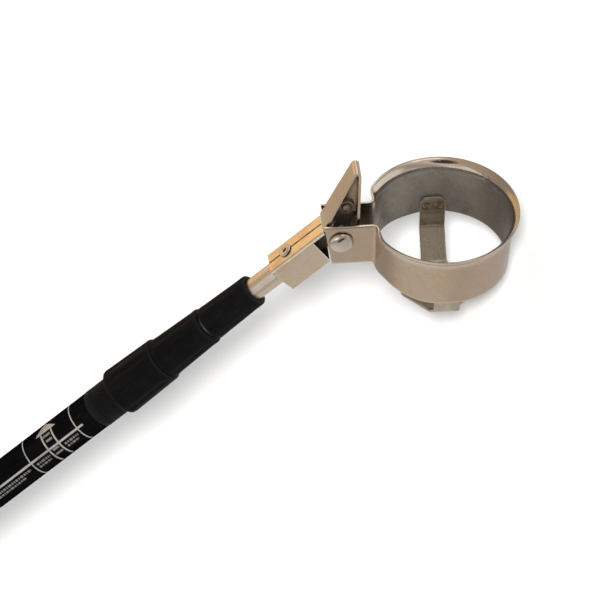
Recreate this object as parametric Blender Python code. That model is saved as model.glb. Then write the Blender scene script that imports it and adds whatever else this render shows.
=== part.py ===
"""Telescopic golf ball retriever with a hinged ring cup, shaft collapsed.

The shaft axis is X, with the butt face at x = 0 and the head at +X. Z points out of the
seam side of the shaft bracket and Y runs along the hinge pin ("near" is -Y, "far" is +Y).
Dimensions are in millimetres; the scene is in metres.
"""
import math
from collections import namedtuple

import bpy
import numpy as np
from mathutils import Matrix, Vector

for scene_object in list(bpy.data.objects):
    bpy.data.objects.remove(scene_object, do_unlink=True)

MM = 0.001

# ---------------------------------------------------------------- driving dimensions
PIN_X = 600.0            # butt face to hinge pin
PIN_Z = -1.9             # hinge pin, below the shaft axis
CUP_TILT = math.radians(45.2)    # the cup hangs this far below the shaft line

# Cup frame: origin on the cup axis in the lip plane, +x away from the hinge.
PIN_CUP_X, PIN_CUP_Z = -39.7, -7.2       # hinge pin in the cup frame
LEVER_CUP_X, LEVER_CUP_Z = -37.5, 5.6    # lever pin in the cup frame

PIN_R = 2.0
PIN_HOLE_R = 2.3
LEVER_HOLE_R = 1.3
EYELET_BEHIND_PIN = 21.5
EYELET_HOLE_R = 1.8
TONGUE_HALF_T = 1.2
FIT = 0.3                # radial clearance between parts that slide or plug together

Tube = namedtuple("Tube", "outer bore rear front")    # two radii, then two x positions
INNER_TUBE = Tube(4.45, 3.75, 96.0, PIN_X - 12.5)
SECOND_TUBE = Tube(5.35, 4.75, 68.0, PIN_X - 48.0)
THIRD_TUBE = Tube(6.30, 5.70, 40.0, PIN_X - 73.0)
HANDLE_TUBE = Tube(7.35, 6.65, 6.0, PIN_X - 97.0)

SEGMENTS = 28            # round the shaft parts

# name: (base colour, roughness, metallic)
LOOKS = {
    "plated": ((0.55, 0.47, 0.39), 0.28, 1.0),
    "bracket": ((0.66, 0.54, 0.40), 0.30, 1.0),
    "dark_steel": ((0.09, 0.085, 0.08), 0.45, 1.0),
    "bright": ((0.72, 0.72, 0.72), 0.22, 1.0),
    "tube": ((0.62, 0.61, 0.59), 0.30, 1.0),
    "black_tube": ((0.012, 0.012, 0.013), 0.25, 0.0),
    "collar": ((0.016, 0.016, 0.018), 0.48, 0.0),
    "label": ((0.008, 0.008, 0.009), 0.18, 0.0),
    "rubber": ((0.022, 0.022, 0.023), 0.8, 0.0),
    "nylon": ((0.62, 0.61, 0.57), 0.5, 0.0),
}


# ---------------------------------------------------------------- objects
def make_material(look):
    colour, roughness, metallic = LOOKS[look]
    material = bpy.data.materials.new(look)
    material.use_nodes = True
    inputs = material.node_tree.nodes["Principled BSDF"].inputs
    inputs["Base Color"].default_value = (*colour, 1.0)
    inputs["Roughness"].default_value = roughness
    inputs["Metallic"].default_value = metallic
    material.diffuse_color = (*colour, 1.0)
    return material


def add_empty(name, parent=None, loc=(0, 0, 0), tilt=0.0):
    rig = bpy.data.objects.new(name, None)
    bpy.context.scene.collection.objects.link(rig)
    rig.parent = parent
    rig.location = Vector(loc) * MM
    rig.rotation_euler = (0, tilt, 0)
    return rig


def add_mesh(name, shape, parent, loc=(0, 0, 0)):
    """Link a mesh object; shape is (verts, faces) in the parent's frame, loc its origin."""
    verts, faces = shape
    loc = Vector(loc)
    mesh = bpy.data.meshes.new(name)
    mesh.from_pydata([((Vector(v) - loc) * MM)[:] for v in verts], [], faces)
    ob = bpy.data.objects.new(name, mesh)
    bpy.context.scene.collection.objects.link(ob)
    ob.parent = parent
    ob.location = loc * MM
    return ob


def shade(ob, sharp):
    """Smooth shading, with edges sharper than this many degrees kept crisp."""
    ob.data.shade_smooth()
    ob.data.set_sharp_from_angle(angle=math.radians(sharp))


def add_piece(name, shape, look, parent, sharp=32.0, loc=(0, 0, 0)):
    ob = add_mesh(name, shape, parent, loc)
    ob.data.validate()
    ob.data.materials.append(make_material(look))
    shade(ob, sharp)
    return ob


def combine(ob, shape, operation):
    """Boolean ob with a shape given in the same parent frame."""
    tool = add_mesh("cutter", shape, ob.parent)
    tool.hide_render = True
    bpy.context.view_layer.update()
    modifier = ob.modifiers.new("cut", 'BOOLEAN')
    modifier.operation = operation
    modifier.solver = 'EXACT'
    modifier.object = tool
    bpy.context.view_layer.update()
    evaluated = ob.evaluated_get(bpy.context.evaluated_depsgraph_get())
    result = bpy.data.meshes.new_from_object(evaluated)
    old = ob.data
    ob.modifiers.clear()
    ob.data = result
    result.name = ob.name
    bpy.data.meshes.remove(old)
    bpy.data.objects.remove(tool, do_unlink=True)


def cut(ob, shape):
    combine(ob, shape, 'DIFFERENCE')


def join(ob, shape):
    combine(ob, shape, 'UNION')


def reshade(ob, sharp=32.0):
    """After booleans: back to the one material, and shade the new faces."""
    material = ob.data.materials[0]
    ob.data.materials.clear()
    ob.data.materials.append(material)
    for polygon in ob.data.polygons:
        polygon.material_index = 0
    shade(ob, sharp)


# ---------------------------------------------------------------- shapes: (verts, faces)
def outward(verts, faces):
    """Return a closed shape with its faces turned outwards."""
    points = np.array([tuple(v) for v in verts], dtype=float)
    volume = 0.0
    for face in faces:
        first = points[face[0]]
        for i in range(1, len(face) - 1):
            normal = np.cross(points[face[i]], points[face[i + 1]])
            volume += float(np.dot(first, normal))
    if volume < 0:
        faces = [tuple(reversed(face)) for face in faces]
    return verts, faces


# (along, across_a, across_b) to xyz for each turning axis
AXIS_ORDER = {
    'X': lambda along, a, b: (along, a, b),
    'Y': lambda along, a, b: (b, along, a),
    'Z': lambda along, a, b: (a, b, along),
}


def turned(profile, axis='X', centre=(0, 0, 0), seg=SEGMENTS, closed=False, radius_at=None):
    """Revolve (along, radius) points.

    An open profile starts and ends on the axis; a closed one makes a ring.
    radius_at(k, radius, angle) may vary the radius of point k round the axis."""
    to_xyz = AXIS_ORDER[axis]
    verts, rings = [], []
    for k, (along, radius) in enumerate(profile):
        start = len(verts)
        if radius <= 1e-9:
            rings.append([start])
            verts.append(to_xyz(along, 0.0, 0.0))
            continue
        rings.append(list(range(start, start + seg)))
        for i in range(seg):
            angle = 2 * math.pi * i / seg
            r = radius_at(k, radius, angle) if radius_at else radius
            verts.append(to_xyz(along, r * math.cos(angle), r * math.sin(angle)))
    faces = []
    count = len(rings)
    for k in range(count if closed else count - 1):
        this, following = rings[k], rings[(k + 1) % count]
        for i in range(seg):
            j = (i + 1) % seg
            if len(this) == 1:
                faces.append((this[0], following[j], following[i]))
            elif len(following) == 1:
                faces.append((this[i], this[j], following[0]))
            else:
                faces.append((this[i], this[j], following[j], following[i]))
    centre = Vector(centre)
    return outward([tuple(Vector(v) + centre) for v in verts], faces)


def rod(axis, centre, radius, start, end, seg):
    return turned([(start, 0.0), (start, radius), (end, radius), (end, 0.0)], axis, centre, seg)


def skinned(sections, closed=False):
    """Skin equal-length closed sections, with capped ends or closed into a loop."""
    size, count = len(sections[0]), len(sections)
    verts = [tuple(p) for section in sections for p in section]
    faces = []
    for k in range(count if closed else count - 1):
        a, b = k * size, (k + 1) % count * size
        for i in range(size):
            j = (i + 1) % size
            faces.append((a + i, a + j, b + j, b + i))
    if not closed:
        faces.append(tuple(reversed(range(size))))
        faces.append(tuple(range((count - 1) * size, count * size)))
    return outward(verts, faces)


def prism(outline, y0, y1):
    """Extrude an (x, z) outline between two y values."""
    n = len(outline)
    verts = [(x, y, z) for y in (y0, y1) for x, z in outline]
    faces = [tuple(range(n)), tuple(reversed(range(n, 2 * n)))]
    for i in range(n):
        j = (i + 1) % n
        faces.append((i, n + i, n + j, j))
    return outward(verts, faces)


def box(x0, x1, half_y, half_z):
    outline = [(x0, -half_z), (x1, -half_z), (x1, half_z), (x0, half_z)]
    return prism(outline, -half_y, half_y)


def relative_to(shape, origin_x, origin_z):
    """The shape as seen from a point in its xz plane."""
    verts, faces = shape
    return [(x - origin_x, y, z - origin_z) for x, y, z in verts], faces


# ---------------------------------------------------------------- 2D outlines
def convex_hull(points):
    points = sorted(set((round(p[0], 6), round(p[1], 6)) for p in points))

    def chain(sequence):
        out = []
        for p in sequence:
            while len(out) > 1:
                (x1, y1), (x2, y2) = out[-2], out[-1]
                if (x2 - x1) * (p[1] - y1) - (y2 - y1) * (p[0] - x1) > 0:
                    break
                out.pop()
            out.append(p)
        return out
    return chain(points)[:-1] + chain(reversed(points))[:-1]


def circle(centre_x, centre_z, radius, n):
    return [(centre_x + radius * math.cos(2 * math.pi * i / n),
             centre_z + radius * math.sin(2 * math.pi * i / n)) for i in range(n)]


def filleted(points, radius, n):
    """Round the corners of an open polyline, n steps to a corner."""
    out = [points[0]]
    for before, corner, after in zip(points[:-2], points[1:-1], points[2:]):
        before, corner, after = Vector(before), Vector(corner), Vector(after)
        back, ahead = (before - corner).normalized(), (after - corner).normalized()
        half_angle = back.angle(ahead) / 2
        # the fillet uses up at most 0.45 of either leg
        setback = min(radius / math.tan(half_angle), 0.45 * (before - corner).length,
                      0.45 * (after - corner).length)
        r = setback * math.tan(half_angle)
        centre = corner + (back + ahead).normalized() * (r / math.sin(half_angle))
        start, end = corner + back * setback, corner + ahead * setback
        angle0 = math.atan2(start.y - centre.y, start.x - centre.x)
        angle1 = math.atan2(end.y - centre.y, end.x - centre.x)
        sweep = (angle1 - angle0 + math.pi) % (2 * math.pi) - math.pi
        for i in range(n + 1):
            angle = angle0 + sweep * i / n
            out.append((centre.x + r * math.cos(angle), centre.y + r * math.sin(angle)))
    out.append(points[-1])
    return out


def mirrored(points):
    """Reflect in the second axis and reverse the order."""
    return [(-a, b) for a, b in reversed(points)]


def tangent(points, k):
    """Unit direction of a polyline at point k, from its neighbours."""
    before = Vector(points[max(0, k - 1)])
    after = Vector(points[min(len(points) - 1, k + 1)])
    return (after - before).normalized()


def clamp(value, low, high):
    return max(low, min(high, value))


def smoothstep(t):
    t = clamp(t, 0.0, 1.0)
    return t * t * (3 - 2 * t)


def blend(a, b, weight):
    return a * (1 - weight) + b * weight


# ---------------------------------------------------------------- rig
# Each stage slides out of the one before it; each cam turns in the tube behind it.
rig_handle = add_empty("rig_handle")
rig_cam_3 = add_empty("rig_cam_3", rig_handle)
rig_stage_3 = add_empty("rig_stage_3", rig_cam_3)
rig_cam_2 = add_empty("rig_cam_2", rig_stage_3)
rig_stage_2 = add_empty("rig_stage_2", rig_cam_2)
rig_cam_1 = add_empty("rig_cam_1", rig_stage_2)
rig_head = add_empty("rig_head", rig_cam_1)

# The cup and lever empties are tilted with the cup frame and sit on their pivots.
HINGE = Vector((PIN_X, 0, PIN_Z))
LEVER_PIVOT = HINGE + Matrix.Rotation(CUP_TILT, 3, 'Y') @ Vector(
    (LEVER_CUP_X - PIN_CUP_X, 0, LEVER_CUP_Z - PIN_CUP_Z))
rig_cup = add_empty("rig_cup", rig_head, HINGE, CUP_TILT)
rig_lever = add_empty("rig_lever", rig_head, LEVER_PIVOT, CUP_TILT)


# ================================================================= cup, in the cup frame
RING_R = 26.6            # reference radius of the ring's sheet
EAR_MID_Y = 6.42
EAR_SHEET = 1.1
EAR_TOP, EAR_BOTTOM = 0.35, -18.8
EAR_END_TOP, EAR_END_BOTTOM = -46.5, -42.9    # x of the ears' raked free ends
EAR_RAKE_START = -36.0
EAR_BEND_R = 2.4
EAR_X = (EAR_END_TOP, -45.6, -43.5, -38.0, -32.5)    # stations up to the bend
BEND_STEPS = 4
RING_STEPS = 50
# Share of the ring's own section and height already reached at the end of the bend,
# and the degrees of arc over which the rest is gained.
SECTION_AT_BEND, SECTION_ARC = 0.22, 13.0
HEIGHT_AT_BEND, HEIGHT_ARC = 0.6, 55.0

# ring section: (z, radius), outer face upwards then inner face downwards
RING_OUTER = [(-24.5, 26.35), (-24.2, 26.5), (-15.0, 27.07), (-6.0, 27.55), (-3.4, 28.0),
              (-1.6, 28.95), (-0.5, 29.75), (0.1, 30.0)]
RING_INNER = [(0.5, 29.65), (-0.3, 28.7), (-1.5, 27.75), (-3.2, 26.98), (-6.0, 26.55),
              (-15.0, 26.07), (-24.2, 25.5), (-24.5, 25.62)]


def ear_section():
    """(z, offset) points of the flat ear, one for each point of the ring section."""
    low, high = RING_OUTER[0][0], RING_INNER[0][0]
    half = EAR_SHEET / 2
    heights = [EAR_BOTTOM + (z - low) / (high - low) * (EAR_TOP - EAR_BOTTOM)
               for z, _ in RING_OUTER + RING_INNER]
    flat = len(RING_OUTER) - 2
    offsets = [half - 0.15] + [half] * flat + [half - 0.2]      # chamfered corners
    offsets += [0.2 - half] + [-half] * flat + [0.15 - half]
    return list(zip(heights, offsets))


def band_stations():
    """Stations round the strip, near ear to far ear.

    Each is (point xy, outward normal xy, section weight, height weight, end rake)."""
    bend_y = EAR_MID_Y + EAR_BEND_R
    bend_x = -math.sqrt((RING_R + EAR_BEND_R) ** 2 - bend_y ** 2)
    bend_end = math.atan2(bend_y, -bend_x)
    half_sweep = math.pi - bend_end

    near = []
    for x in EAR_X + (bend_x,):
        rake = smoothstep((EAR_RAKE_START - x) / (EAR_RAKE_START - EAR_END_TOP))
        near.append(((x, -EAR_MID_Y), (0.0, -1.0), 0.0, 0.0, rake))
    for i in range(1, BEND_STEPS + 1):
        t = math.pi / 2 + (bend_end - math.pi / 2) * i / BEND_STEPS
        point = (bend_x + EAR_BEND_R * math.cos(t), -bend_y + EAR_BEND_R * math.sin(t))
        near.append((point, (-math.cos(t), -math.sin(t)), SECTION_AT_BEND * i / BEND_STEPS,
                     HEIGHT_AT_BEND * smoothstep(i / BEND_STEPS), 0.0))

    ring = []
    for i in range(1, RING_STEPS):
        t = -half_sweep + 2 * half_sweep * i / RING_STEPS
        from_bend = math.degrees(min(t + half_sweep, half_sweep - t))
        normal = (math.cos(t), math.sin(t))
        section = blend(SECTION_AT_BEND, 1.0, smoothstep(from_bend / SECTION_ARC))
        height = blend(HEIGHT_AT_BEND, 1.0, smoothstep(from_bend / HEIGHT_ARC))
        ring.append(((RING_R * normal[0], RING_R * normal[1]), normal, section, height, 0.0))

    far = [((p[0], -p[1]), (n[0], -n[1]), *weights) for p, n, *weights in reversed(near)]
    return near + ring + far


def cup_band():
    """Ring with a flared lip and two parallel ears, one folded strip of sheet."""
    ear = ear_section()
    ring = [(z, r - RING_R) for z, r in RING_OUTER + RING_INNER]
    sections = []
    for point, normal, section_weight, height_weight, rake in band_stations():
        section = []
        for (ear_z, ear_offset), (ring_z, ring_offset) in zip(ear, ring):
            z = blend(ear_z, ring_z, height_weight)
            offset = blend(ear_offset, ring_offset, section_weight)
            depth = (EAR_TOP - z) / (EAR_TOP - EAR_BOTTOM)
            x = point[0] + normal[0] * offset
            x += rake * depth * (EAR_END_BOTTOM - EAR_END_TOP)
            section.append((x, point[1] + normal[1] * offset, z))
        sections.append(section)
    shape = relative_to(skinned(sections), PIN_CUP_X, PIN_CUP_Z)
    ob = add_piece("cup_band", shape, "plated", rig_cup, 40.0)
    cut(ob, rod('Y', (0, 0, 0), PIN_HOLE_R, -12, 12, 24))
    reshade(ob, 40.0)


STRAP_T = 1.0
STRAP_HALF_W = 5.0       # the upright ends
STRAP_END_CROP = 1.6
BASE_HALF_W = 15.0       # the plate under the ball, its corners cropped at 45 degrees
BASE_EDGE_Y, BASE_Z = 13.2, -40.75
STRAP_BEND_R = 3.0
STRAP_CURVE_R = 24.9     # the upright ends curve across their width to lie on the ring
STRAP_CURVE_START, STRAP_CURVE_RISE = -33.0, 7.0    # z where it begins, height it takes
STRAP_STEPS = 6          # across the width
# (y, z) of the -Y half, end to base, and two extra stations on its upright end
STRAP_PATH = [(-25.15, -16.2), (-24.62, -24.8), (-23.7, -30.6), (-BASE_EDGE_Y, BASE_Z)]
STRAP_UPRIGHT = [(-25.03, -18.0), (-24.8, -22.0)]


def cup_base_strap():
    """Plate under the ball, its narrow ends folded up against the ring's inside."""
    line = filleted(STRAP_PATH + mirrored(STRAP_PATH), STRAP_BEND_R, 3)
    line = ([line[0]] + STRAP_UPRIGHT + line[1:-1] + mirrored(STRAP_UPRIGHT) + [line[-1]])
    # add stations where the cropped corners reach the plate's full width
    flare = BASE_HALF_W - STRAP_HALF_W
    full_y = BASE_EDGE_Y - flare
    middle = len(line) // 2
    line[middle:middle] = [(-full_y, BASE_Z), (full_y, BASE_Z)]
    sections = []
    for k, (y, z) in enumerate(line):
        along = tangent(line, k)
        out = Vector((along.y, -along.x)) * (STRAP_T / 2)    # away from the cup's inside
        half_w = STRAP_HALF_W + clamp(BASE_EDGE_Y - abs(y), 0.0, flare)
        if k in (0, len(line) - 1):
            half_w -= STRAP_END_CROP
        curve = smoothstep((z - STRAP_CURVE_START) / STRAP_CURVE_RISE)
        side = 1.0 if y > 0 else -1.0
        outer, inner = [], []
        for i in range(STRAP_STEPS + 1):
            x = -half_w + 2 * half_w * i / STRAP_STEPS
            sag = (STRAP_CURVE_R - math.sqrt(STRAP_CURVE_R ** 2 - x * x)) * curve
            mid_y = y - side * sag
            outer.append((x, mid_y + out.x, z + out.y))
            inner.append((x, mid_y - out.x, z - out.y))
        sections.append(outer + inner[::-1])
    shape = relative_to(skinned(sections), PIN_CUP_X, PIN_CUP_Z)
    add_piece("cup_base_strap", shape, "plated", rig_cup, 40.0)


HEAD_R, HEAD_DOME, HEAD_RIM_Y = 4.7, 1.5, -7.75    # large head, near side
TAIL_R, TAIL_DOME, TAIL_RIM_Y = 3.7, 1.2, 7.6      # small head, far side
SHANK_END_Y = 7.3


def hinge_pin():
    profile = [(HEAD_RIM_Y - HEAD_DOME, 0.0)]
    for i in range(1, 6):
        t = math.pi / 2 * i / 5
        profile.append((HEAD_RIM_Y - HEAD_DOME * math.cos(t), HEAD_R * math.sin(t)))
    profile += [(-SHANK_END_Y, HEAD_R), (-SHANK_END_Y, PIN_R), (SHANK_END_Y, PIN_R),
                (SHANK_END_Y, TAIL_R), (TAIL_RIM_Y, TAIL_R)]
    for i in range(1, 4):
        t = math.pi / 2 * i / 4
        profile.append((TAIL_RIM_Y + TAIL_DOME * math.sin(t), TAIL_R * math.cos(t)))
    profile.append((TAIL_RIM_Y + TAIL_DOME, 0.0))
    add_piece("hinge_pin", turned(profile, 'Y', seg=24), "bright", rig_cup, 35.0)


cup_band()
cup_base_strap()
hinge_pin()


# ================================================================= head
def behind(distance):
    """x of a point this far behind the hinge pin."""
    return PIN_X - distance


def above(height):
    """z of a point this far above the hinge pin."""
    return PIN_Z + height


TONGUE_HALF_H = 2.9      # of the part inside the tube
TONGUE_NECK, TONGUE_REAR, TONGUE_OVERLAP = 12.1, 18.7, 10.5    # behind the hinge pin


def hinge_tongue():
    """Flat plate from inside the tube, round the hinge pin, up to the lever pin."""
    neck = [(behind(TONGUE_NECK), z) for z in (-TONGUE_HALF_H, TONGUE_HALF_H)]
    web = convex_hull(neck + circle(PIN_X, PIN_Z, 4.4, 24))
    ob = add_piece("hinge_tongue", prism(web, -TONGUE_HALF_T, TONGUE_HALF_T),
                   "dark_steel", rig_head, 35.0)
    join(ob, box(behind(TONGUE_REAR), behind(TONGUE_OVERLAP), TONGUE_HALF_T, TONGUE_HALF_H))
    arm = convex_hull(circle(PIN_X, PIN_Z, 3.6, 20)
                      + circle(LEVER_PIVOT.x, LEVER_PIVOT.z, 3.0, 20))
    join(ob, prism(arm, -TONGUE_HALF_T, TONGUE_HALF_T))
    cut(ob, rod('Y', HINGE, PIN_HOLE_R, -4, 4, 24))
    cut(ob, rod('Y', LEVER_PIVOT, LEVER_HOLE_R, -4, 4, 16))
    reshade(ob, 35.0)


SPACER_BORE, SPACER_R, SPACER_CHAMFER = 2.35, 3.6, 0.25


def hinge_spacer(name, y0, y1):
    chamfered = SPACER_R - SPACER_CHAMFER
    profile = [(y0, SPACER_BORE), (y1, SPACER_BORE), (y1, chamfered),
               (y1 - SPACER_CHAMFER, SPACER_R), (y0 + SPACER_CHAMFER, SPACER_R),
               (y0, chamfered)]
    add_piece(name, turned(profile, 'Y', HINGE, 24, closed=True), "nylon", rig_head, 35.0,
              HINGE)


# (y, radius): domed head on the near side, shank, small far head
LEVER_PIN_PROFILE = [
    (-2.7, 0.0), (-2.62, 0.75), (-2.35, 1.4), (-1.95, 1.85), (-1.55, 1.95), (-1.55, 1.0),
    (4.72, 1.0), (4.72, 1.7), (5.1, 1.5), (5.3, 0.8), (5.35, 0.0)]


def lever_pin():
    add_piece("lever_pin", turned(LEVER_PIN_PROFILE, 'Y', LEVER_PIVOT, 20), "bracket",
              rig_head, 35.0, LEVER_PIVOT)


SPRING_WIRE_R, SPRING_COIL_R = 0.4, 4.35
SPRING_TURNS = 3.25
SPRING_Y0, SPRING_Y1 = -4.95, -2.05
SPRING_START = math.radians(200)
SPRING_LEADS = (5.5, 3.6, 1.8), (1.6, 3.2, 4.8)    # distances along the straight legs


def lever_spring():
    """Torsion spring round the near hinge spacer, straight legs on the tangents."""
    steps = int(SPRING_TURNS * 14)
    coil = []
    for i in range(steps + 1):
        t = SPRING_START - 2 * math.pi * SPRING_TURNS * i / steps
        coil.append((PIN_X + SPRING_COIL_R * math.cos(t),
                     SPRING_Y0 + (SPRING_Y1 - SPRING_Y0) * i / steps,
                     PIN_Z + SPRING_COIL_R * math.sin(t)))
    start, end = SPRING_START, SPRING_START - 2 * math.pi * SPRING_TURNS
    start_leg = Vector((-math.sin(start), 0, math.cos(start)))
    end_leg = Vector((math.sin(end), 0, -math.cos(end)))
    wire = [tuple(Vector(coil[0]) + start_leg * d) for d in SPRING_LEADS[0]]
    wire += coil
    wire += [tuple(Vector(coil[-1]) + end_leg * d) for d in SPRING_LEADS[1]]
    sections = []
    for k, point in enumerate(wire):
        along = tangent(wire, k)
        u = along.cross(Vector((0, 1, 0))).normalized()
        w = along.cross(u).normalized()
        sections.append([Vector(point) + u * a + w * b
                         for a, b in circle(0, 0, SPRING_WIRE_R, 6)])
    add_piece("lever_spring", skinned(sections), "bright", rig_head, 50.0, HINGE)


BRACKET_HALF_W = 5.5
BRACKET_SHEET = 0.75
BRACKET_CORNER_R = 1.3
BRACKET_HALF_SEAM = 0.18
BRACKET_TOP, BRACKET_BOTTOM = 7.6, -6.0      # above the hinge pin
BRACKET_REAR, BRACKET_TOP_FRONT = 30.4, 2.6  # behind the hinge pin
BRACKET_SIDE_FRONT = 8.9
BRACKET_SIDE_RAKE = 0.17     # the sides' front edges lean back towards the bottom


def shaft_bracket():
    """Sheet box wrapped round the tube, its two edges meeting in a seam on top."""
    corner_y = BRACKET_HALF_W - BRACKET_CORNER_R
    top, bottom = above(BRACKET_TOP), above(BRACKET_BOTTOM)
    high, low = top - BRACKET_CORNER_R, bottom + BRACKET_CORNER_R
    # corner centres and the angle each arc starts at, clockwise from the seam
    corners = [(corner_y, high, 90), (corner_y, low, 0), (-corner_y, low, -90),
               (-corner_y, high, 180)]

    def face(radius, top_z):
        points = [(BRACKET_HALF_SEAM, top_z)]
        for y, z, start in corners:
            for i in range(5):
                t = math.radians(start - 90 * i / 4)
                points.append((y + radius * math.cos(t), z + radius * math.sin(t)))
        return points + [(-BRACKET_HALF_SEAM, top_z)]
    outer = face(BRACKET_CORNER_R, top)
    inner = face(BRACKET_CORNER_R - BRACKET_SHEET, top - BRACKET_SHEET)
    loop = outer + inner[::-1]
    sections = [[(x, y, z) for y, z in loop]
                for x in (behind(BRACKET_REAR), behind(BRACKET_TOP_FRONT))]
    ob = add_piece("shaft_bracket", skinned(sections), "bracket", rig_head, 35.0)

    # cut the sides and bottom back, leaving the top as a longer tab
    cut_top = BRACKET_TOP - BRACKET_CORNER_R + 0.1
    cut_bottom, cut_front = -12, -2
    raked = BRACKET_SIDE_FRONT + BRACKET_SIDE_RAKE * (cut_top - cut_bottom)
    cut(ob, prism([(behind(BRACKET_SIDE_FRONT), above(cut_top)),
                   (behind(raked), above(cut_bottom)),
                   (behind(cut_front), above(cut_bottom)),
                   (behind(cut_front), above(cut_top))], -8, 8))
    cut(ob, eyelet_hole(14, 22))
    reshade(ob, 35.0)


EYELET = (behind(EYELET_BEHIND_PIN), 0, 0)


def eyelet_hole(reach, seg):
    return rod('Z', EYELET, EYELET_HOLE_R, -reach, reach, seg)


def bracket_eyelet():
    """Hollow rivet through bracket, tube and plug, flanged at both ends."""
    top, bottom = above(BRACKET_TOP), above(BRACKET_BOTTOM)
    shank, bore = 1.5, 0.85
    profile = [(bottom - 0.9, bore), (bottom - 0.9, 2.2), (bottom - 0.6, 2.45),
               (bottom - 0.3, 2.45), (bottom - 0.3, shank), (top + 0.3, shank),
               (top + 0.3, 2.7), (top + 0.55, 2.75), (top + 0.95, 2.35), (top + 1.1, 1.7),
               (top + 1.0, 1.15), (top + 0.6, bore)]
    add_piece("bracket_eyelet", turned(profile, 'Z', EYELET, 22, closed=True), "bright",
              rig_head, 35.0, EYELET)


PLUG_REAR, PLUG_FRONT, PLUG_SLOT_REAR = 30.0, 13.0, 19.1    # behind the hinge pin
PLUG_CHAMFER = 0.4


def tip_plug():
    """Plug in the inner tube's front end, slotted top to bottom for the tongue."""
    radius = INNER_TUBE.bore - FIT
    rear, front = behind(PLUG_REAR), behind(PLUG_FRONT)
    profile = [(rear, 0), (rear, radius - PLUG_CHAMFER), (rear + PLUG_CHAMFER, radius),
               (front - PLUG_CHAMFER, radius), (front, radius - PLUG_CHAMFER), (front, 0)]
    ob = add_piece("tip_plug", turned(profile, seg=24), "nylon", rig_head, 35.0)
    cut(ob, box(behind(PLUG_SLOT_REAR), behind(10), TONGUE_HALF_T + 0.3, 8))
    cut(ob, eyelet_hole(8, 20))
    reshade(ob, 35.0)


def sleeve(name, tube, chamfer_r, chamfer_x, look, parent, sharp=32.0):
    """Plain hollow cylinder, its outer edges chamfered."""
    edge = tube.outer - chamfer_r
    profile = [(tube.rear, tube.bore), (tube.rear, edge), (tube.rear + chamfer_x, tube.outer),
               (tube.front - chamfer_x, tube.outer), (tube.front, edge),
               (tube.front, tube.bore)]
    return add_piece(name, turned(profile, closed=True), look, parent, sharp)


def shaft_tube(name, tube, look, parent):
    return sleeve(name, tube, 0.15, 0.15, look, parent)


def inner_tube():
    ob = shaft_tube("inner_tube", INNER_TUBE, "tube", rig_head)
    cut(ob, eyelet_hole(9, 20))
    reshade(ob)


hinge_tongue()
hinge_spacer("hinge_spacer_near", -5.5, -1.55)
hinge_spacer("hinge_spacer_far", 1.55, 5.5)
lever_pin()
lever_spring()
shaft_bracket()
bracket_eyelet()
tip_plug()
inner_tube()


# ================================================================= lever, in the cup frame
LEVER_T = 1.0
LEVER_SLOPE = (0.376, 0.927)     # direction up the rear leg
LEVER_FOOT = (-46.75, -2.95)     # rear face of the rear leg, at its foot
LEVER_FRONT = (-33.0, -1.6)      # bottom of the front leg
LEVER_TIP_Z = 29.2               # where the legs' lines meet, above the rounded bend
CHEEK_Z = -0.6
CHEEK_Y = (2.95, 3.9)


def latch_lever():
    """Folded strip with one side cheek; its foot rests on the bracket's top edge."""
    half_t = LEVER_T / 2
    slope = Vector(LEVER_SLOPE).normalized()
    foot = Vector(LEVER_FOOT) + Vector((slope.y, -slope.x)) * half_t
    tip = foot + slope * ((LEVER_TIP_Z - foot.y) / slope.y)
    front = Vector(LEVER_FRONT)
    line = filleted([tuple(front), tuple(tip), tuple(foot)], 1.1, 6)
    bend = line[1:-1]
    points = [line[0], tuple(Vector(line[0]).lerp(Vector(bend[0]), 0.5))] + bend
    points += [tuple(Vector(bend[-1]).lerp(Vector(line[-1]), 0.5)), line[-1]]
    sections = []
    for k, point in enumerate(points):
        along = tangent(points, k)
        offset = Vector((along.y, -along.x)) * half_t
        # both legs narrow upwards
        rise = (point[1] + 3.0) / 28.2
        half_w = 4.3 - 0.3 * rise if k <= 1 else 5.2 - 1.25 * clamp(rise, 0.0, 1.0)
        a, b = Vector(point) - offset, Vector(point) + offset
        sections.append([(a.x, -half_w, a.y), (a.x, half_w, a.y),
                         (b.x, half_w, b.y), (b.x, -half_w, b.y)])
    shape = relative_to(skinned(sections), LEVER_CUP_X, LEVER_CUP_Z)
    ob = add_piece("latch_lever", shape, "plated", rig_lever, 35.0)

    def on_leg(bottom):
        """Point of a leg's centre line at the cheek's lower edge."""
        return tuple(bottom + (tip - bottom) * ((CHEEK_Z - bottom.y) / (tip.y - bottom.y)))
    cheek = prism([on_leg(front)] + bend + [on_leg(foot)], *CHEEK_Y)
    join(ob, relative_to(cheek, LEVER_CUP_X, LEVER_CUP_Z))
    cut(ob, rod('Y', (0, 0, 0), LEVER_HOLE_R, 1, 8, 16))
    reshade(ob, 35.0)


latch_lever()


# ================================================================= shaft stages
COLLAR_LIP = 3.2
COLLAR_CHAMFER = 0.7
RIBS, RIB_DEPTH = 12, 0.42
SKIRT_REAR, SKIRT_R = PIN_X - 129.0, 8.0


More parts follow.
